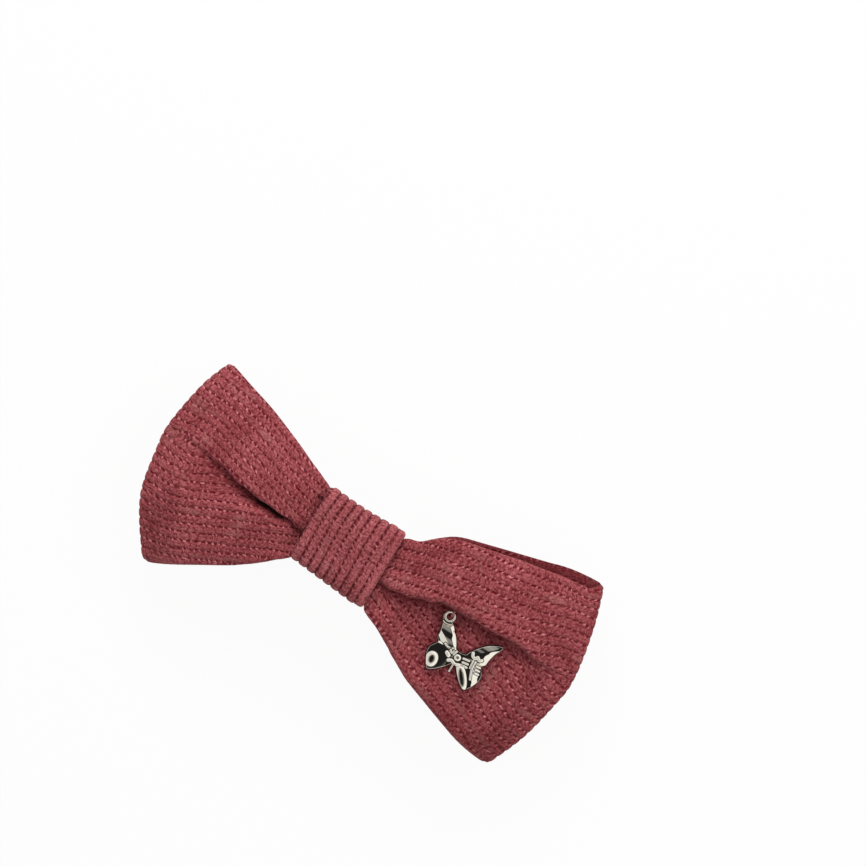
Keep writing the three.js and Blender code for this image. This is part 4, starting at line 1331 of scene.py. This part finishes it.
class BOW_OT_clip(bpy.types.Operator):
    """Makes the two leaves of the sprung clip and their pin."""

    bl_idname = "bow.clip"
    bl_label = "Clip leaves and pin"

    def execute(self, context):
        self.leaf("clip_upper_leaf", "clip_top_plate", "bow", 7.2)
        self.leaf("clip_toothed_leaf", "clip_lower_jaw", "lower_jaw", 0.6)
        self.pin()
        return {"FINISHED"}

    def leaf(self, name, node, body, face):
        bm = cad_copy(node, 0.12, 3)
        # Pressed ribs across the finger tab, and a stiffening bead along the leaf.
        bars = [(x, 0.0, 0.28, 3.2 - 0.5 * abs(k - 1)) for k, x in enumerate((10.4, 11.9, 13.4))]
        bars.append((-3.2, 0.0, 3.6, 0.32))
        for x, y, half_x, half_y in bars:
            made = bmesh.ops.create_uvsphere(bm, u_segments=20, v_segments=10, radius=1.0)["verts"]
            for vert in made:
                px, py, pz = vert.co
                vert.co = in_part((x + px * half_x, y + py * half_y, face - 0.12 + pz * 0.34))
        piece = new_object(name, closed_mesh(bm, name), nickel_material())
        finish_edges(piece)
        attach(piece, body)
        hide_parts(node)

    def pin(self):
        end, head = PIN["end"], PIN["head"]
        outline = [(0, -end - 0.5), (head * 0.55, -end - 0.47), (head * 0.88, -end - 0.36),
                   (head, -end - 0.18), (head * 0.96, -end), (PIN["radius"], -end + 0.05)]
        outline += [(r, -y) for r, y in reversed(outline)]
        bm = bmesh.new()
        verts = [bm.verts.new(in_part((PIN["x"] + r, y, PIN["z"]))) for r, y in outline]
        edges = [bm.edges.new(pair) for pair in zip(verts, verts[1:])]
        bmesh.ops.spin(bm, geom=verts + edges, cent=in_part((PIN["x"], 0, PIN["z"])), axis=(0, 1, 0),
                       angle=2 * math.pi, steps=36, use_merge=True)
        bmesh.ops.remove_doubles(bm, verts=bm.verts, dist=1e-7)
        piece = new_object("hinge_rivet", closed_mesh(bm, "hinge_rivet"), nickel_material())
        finish_edges(piece)
        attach(piece, "bow")
        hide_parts("hinge_pin")


def finish_edges(piece):
    """Smooth shading on curved faces with crisp sharp edges."""
    piece.data.set_sharp_from_angle(angle=math.radians(35))


class BOW_OT_spring(bpy.types.Operator):
    """Makes the torsion spring, which winds as the clip opens."""

    bl_idname = "bow.spring"
    bl_label = "Spring"

    def execute(self, context):
        path, _ = spline(self.route(), 4)
        surface, weave = rod(path, SPRING["wire"], 12)
        bm = bmesh.new()
        skin(bm, surface, weave)
        piece = new_object("torsion_coil", closed_mesh(bm, "torsion_coil"), spring_material())
        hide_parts("torsion_spring")
        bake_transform(piece, "bow", "lower_jaw",
                 start=tuple(in_part((PIN["x"], -SPRING["half"], PIN["z"]))),
                 end=tuple(in_part((PIN["x"], SPRING["half"], PIN["z"]))))
        return {"FINISHED"}

    def route(self):
        radius, half, arm, spread = (SPRING[k] for k in ("radius", "half", "arm", "spread"))
        points = [(PIN["x"] + out, -half, PIN["z"] + radius + out * spread)
                  for out in np.linspace(arm, 0.4, 9)]
        turns = SPRING["turns"]
        for share in np.linspace(0, 1, 90):
            angle = math.pi / 2 + share * turns * 2 * math.pi
            points.append((PIN["x"] + radius * math.cos(angle), (2 * share - 1) * half,
                           PIN["z"] + radius * math.sin(angle)))
        points += [(PIN["x"] + out, half, PIN["z"] - radius - out * spread)
                   for out in np.linspace(0.4, arm, 9)]
        return points


class BOW_OT_glue(bpy.types.Operator):
    """Makes the pressed blob of glue between the clip and the knot."""

    bl_idname = "bow.glue"
    bl_label = "Glue"

    def execute(self, context):
        low, high = (from_part(c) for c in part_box("glue_pad"))
        middle, half = (low + high) / 2, (high - low) / 2
        bm = bmesh.new()
        bmesh.ops.create_uvsphere(bm, u_segments=72, v_segments=28, radius=1.0)
        for vert in bm.verts:
            x, y, z = vert.co
            turn = math.atan2(y, x)
            ragged = 1 + 0.07 * math.sin(3 * turn + 0.6) + 0.05 * math.sin(5 * turn + 2)
            squash = math.copysign(abs(z) ** 0.45, z)
            spread = (1 - abs(squash) ** 3.2) ** (1 / 2.6) if abs(squash) < 1 else 0.0
            plan = ragged / max(abs(math.cos(turn)) ** 3 + abs(math.sin(turn)) ** 3, 1e-6) ** (1 / 3)
            vert.co = in_part((middle[0] + half[0] * 0.92 * spread * plan * math.cos(turn),
                               middle[1] + half[1] * 0.92 * spread * plan * math.sin(turn),
                               middle[2] + half[2] * squash))
        piece = new_object("glue_blob", closed_mesh(bm, "glue_blob"), glue_material())
        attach(piece, "bow")
        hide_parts("glue_pad")
        return {"FINISHED"}


STEPS = (BOW_OT_stage, BOW_OT_loops, BOW_OT_knot, BOW_OT_threads, BOW_OT_charm, BOW_OT_clip, BOW_OT_spring,
         BOW_OT_glue)


class BOW_PT_panel(bpy.types.Panel):
    """Lists the steps that build the clip."""

    bl_label = "Bow Clip"
    bl_idname = "BOW_PT_panel"
    bl_space_type = "VIEW_3D"
    bl_region_type = "UI"
    bl_category = "Bow Clip"

    def draw(self, context):
        for step in STEPS:
            self.layout.operator(step.bl_idname)
        for settings in (context.scene.bow_cloth, context.scene.bow_charm, context.scene.bow_studio):
            box = self.layout.box()
            for key in settings.bl_rna.properties.keys():
                if key not in ("rna_type", "name"):
                    box.prop(settings, key)


CLASSES = (BowCloth, BowCharm, BowStudio, *STEPS, BOW_PT_panel)


def register():
    for cls in CLASSES:
        bpy.utils.register_class(cls)
    bpy.types.Scene.bow_cloth = PointerProperty(type=BowCloth)
    bpy.types.Scene.bow_charm = PointerProperty(type=BowCharm)
    bpy.types.Scene.bow_studio = PointerProperty(type=BowStudio)


def unregister():
    del bpy.types.Scene.bow_studio
    del bpy.types.Scene.bow_charm
    del bpy.types.Scene.bow_cloth
    for cls in reversed(CLASSES):
        bpy.utils.unregister_class(cls)


def main():
    register()
    for step in STEPS:
        group, call = step.bl_idname.split(".")
        getattr(getattr(bpy.ops, group), call)()


if __name__ == "__main__":
    main()
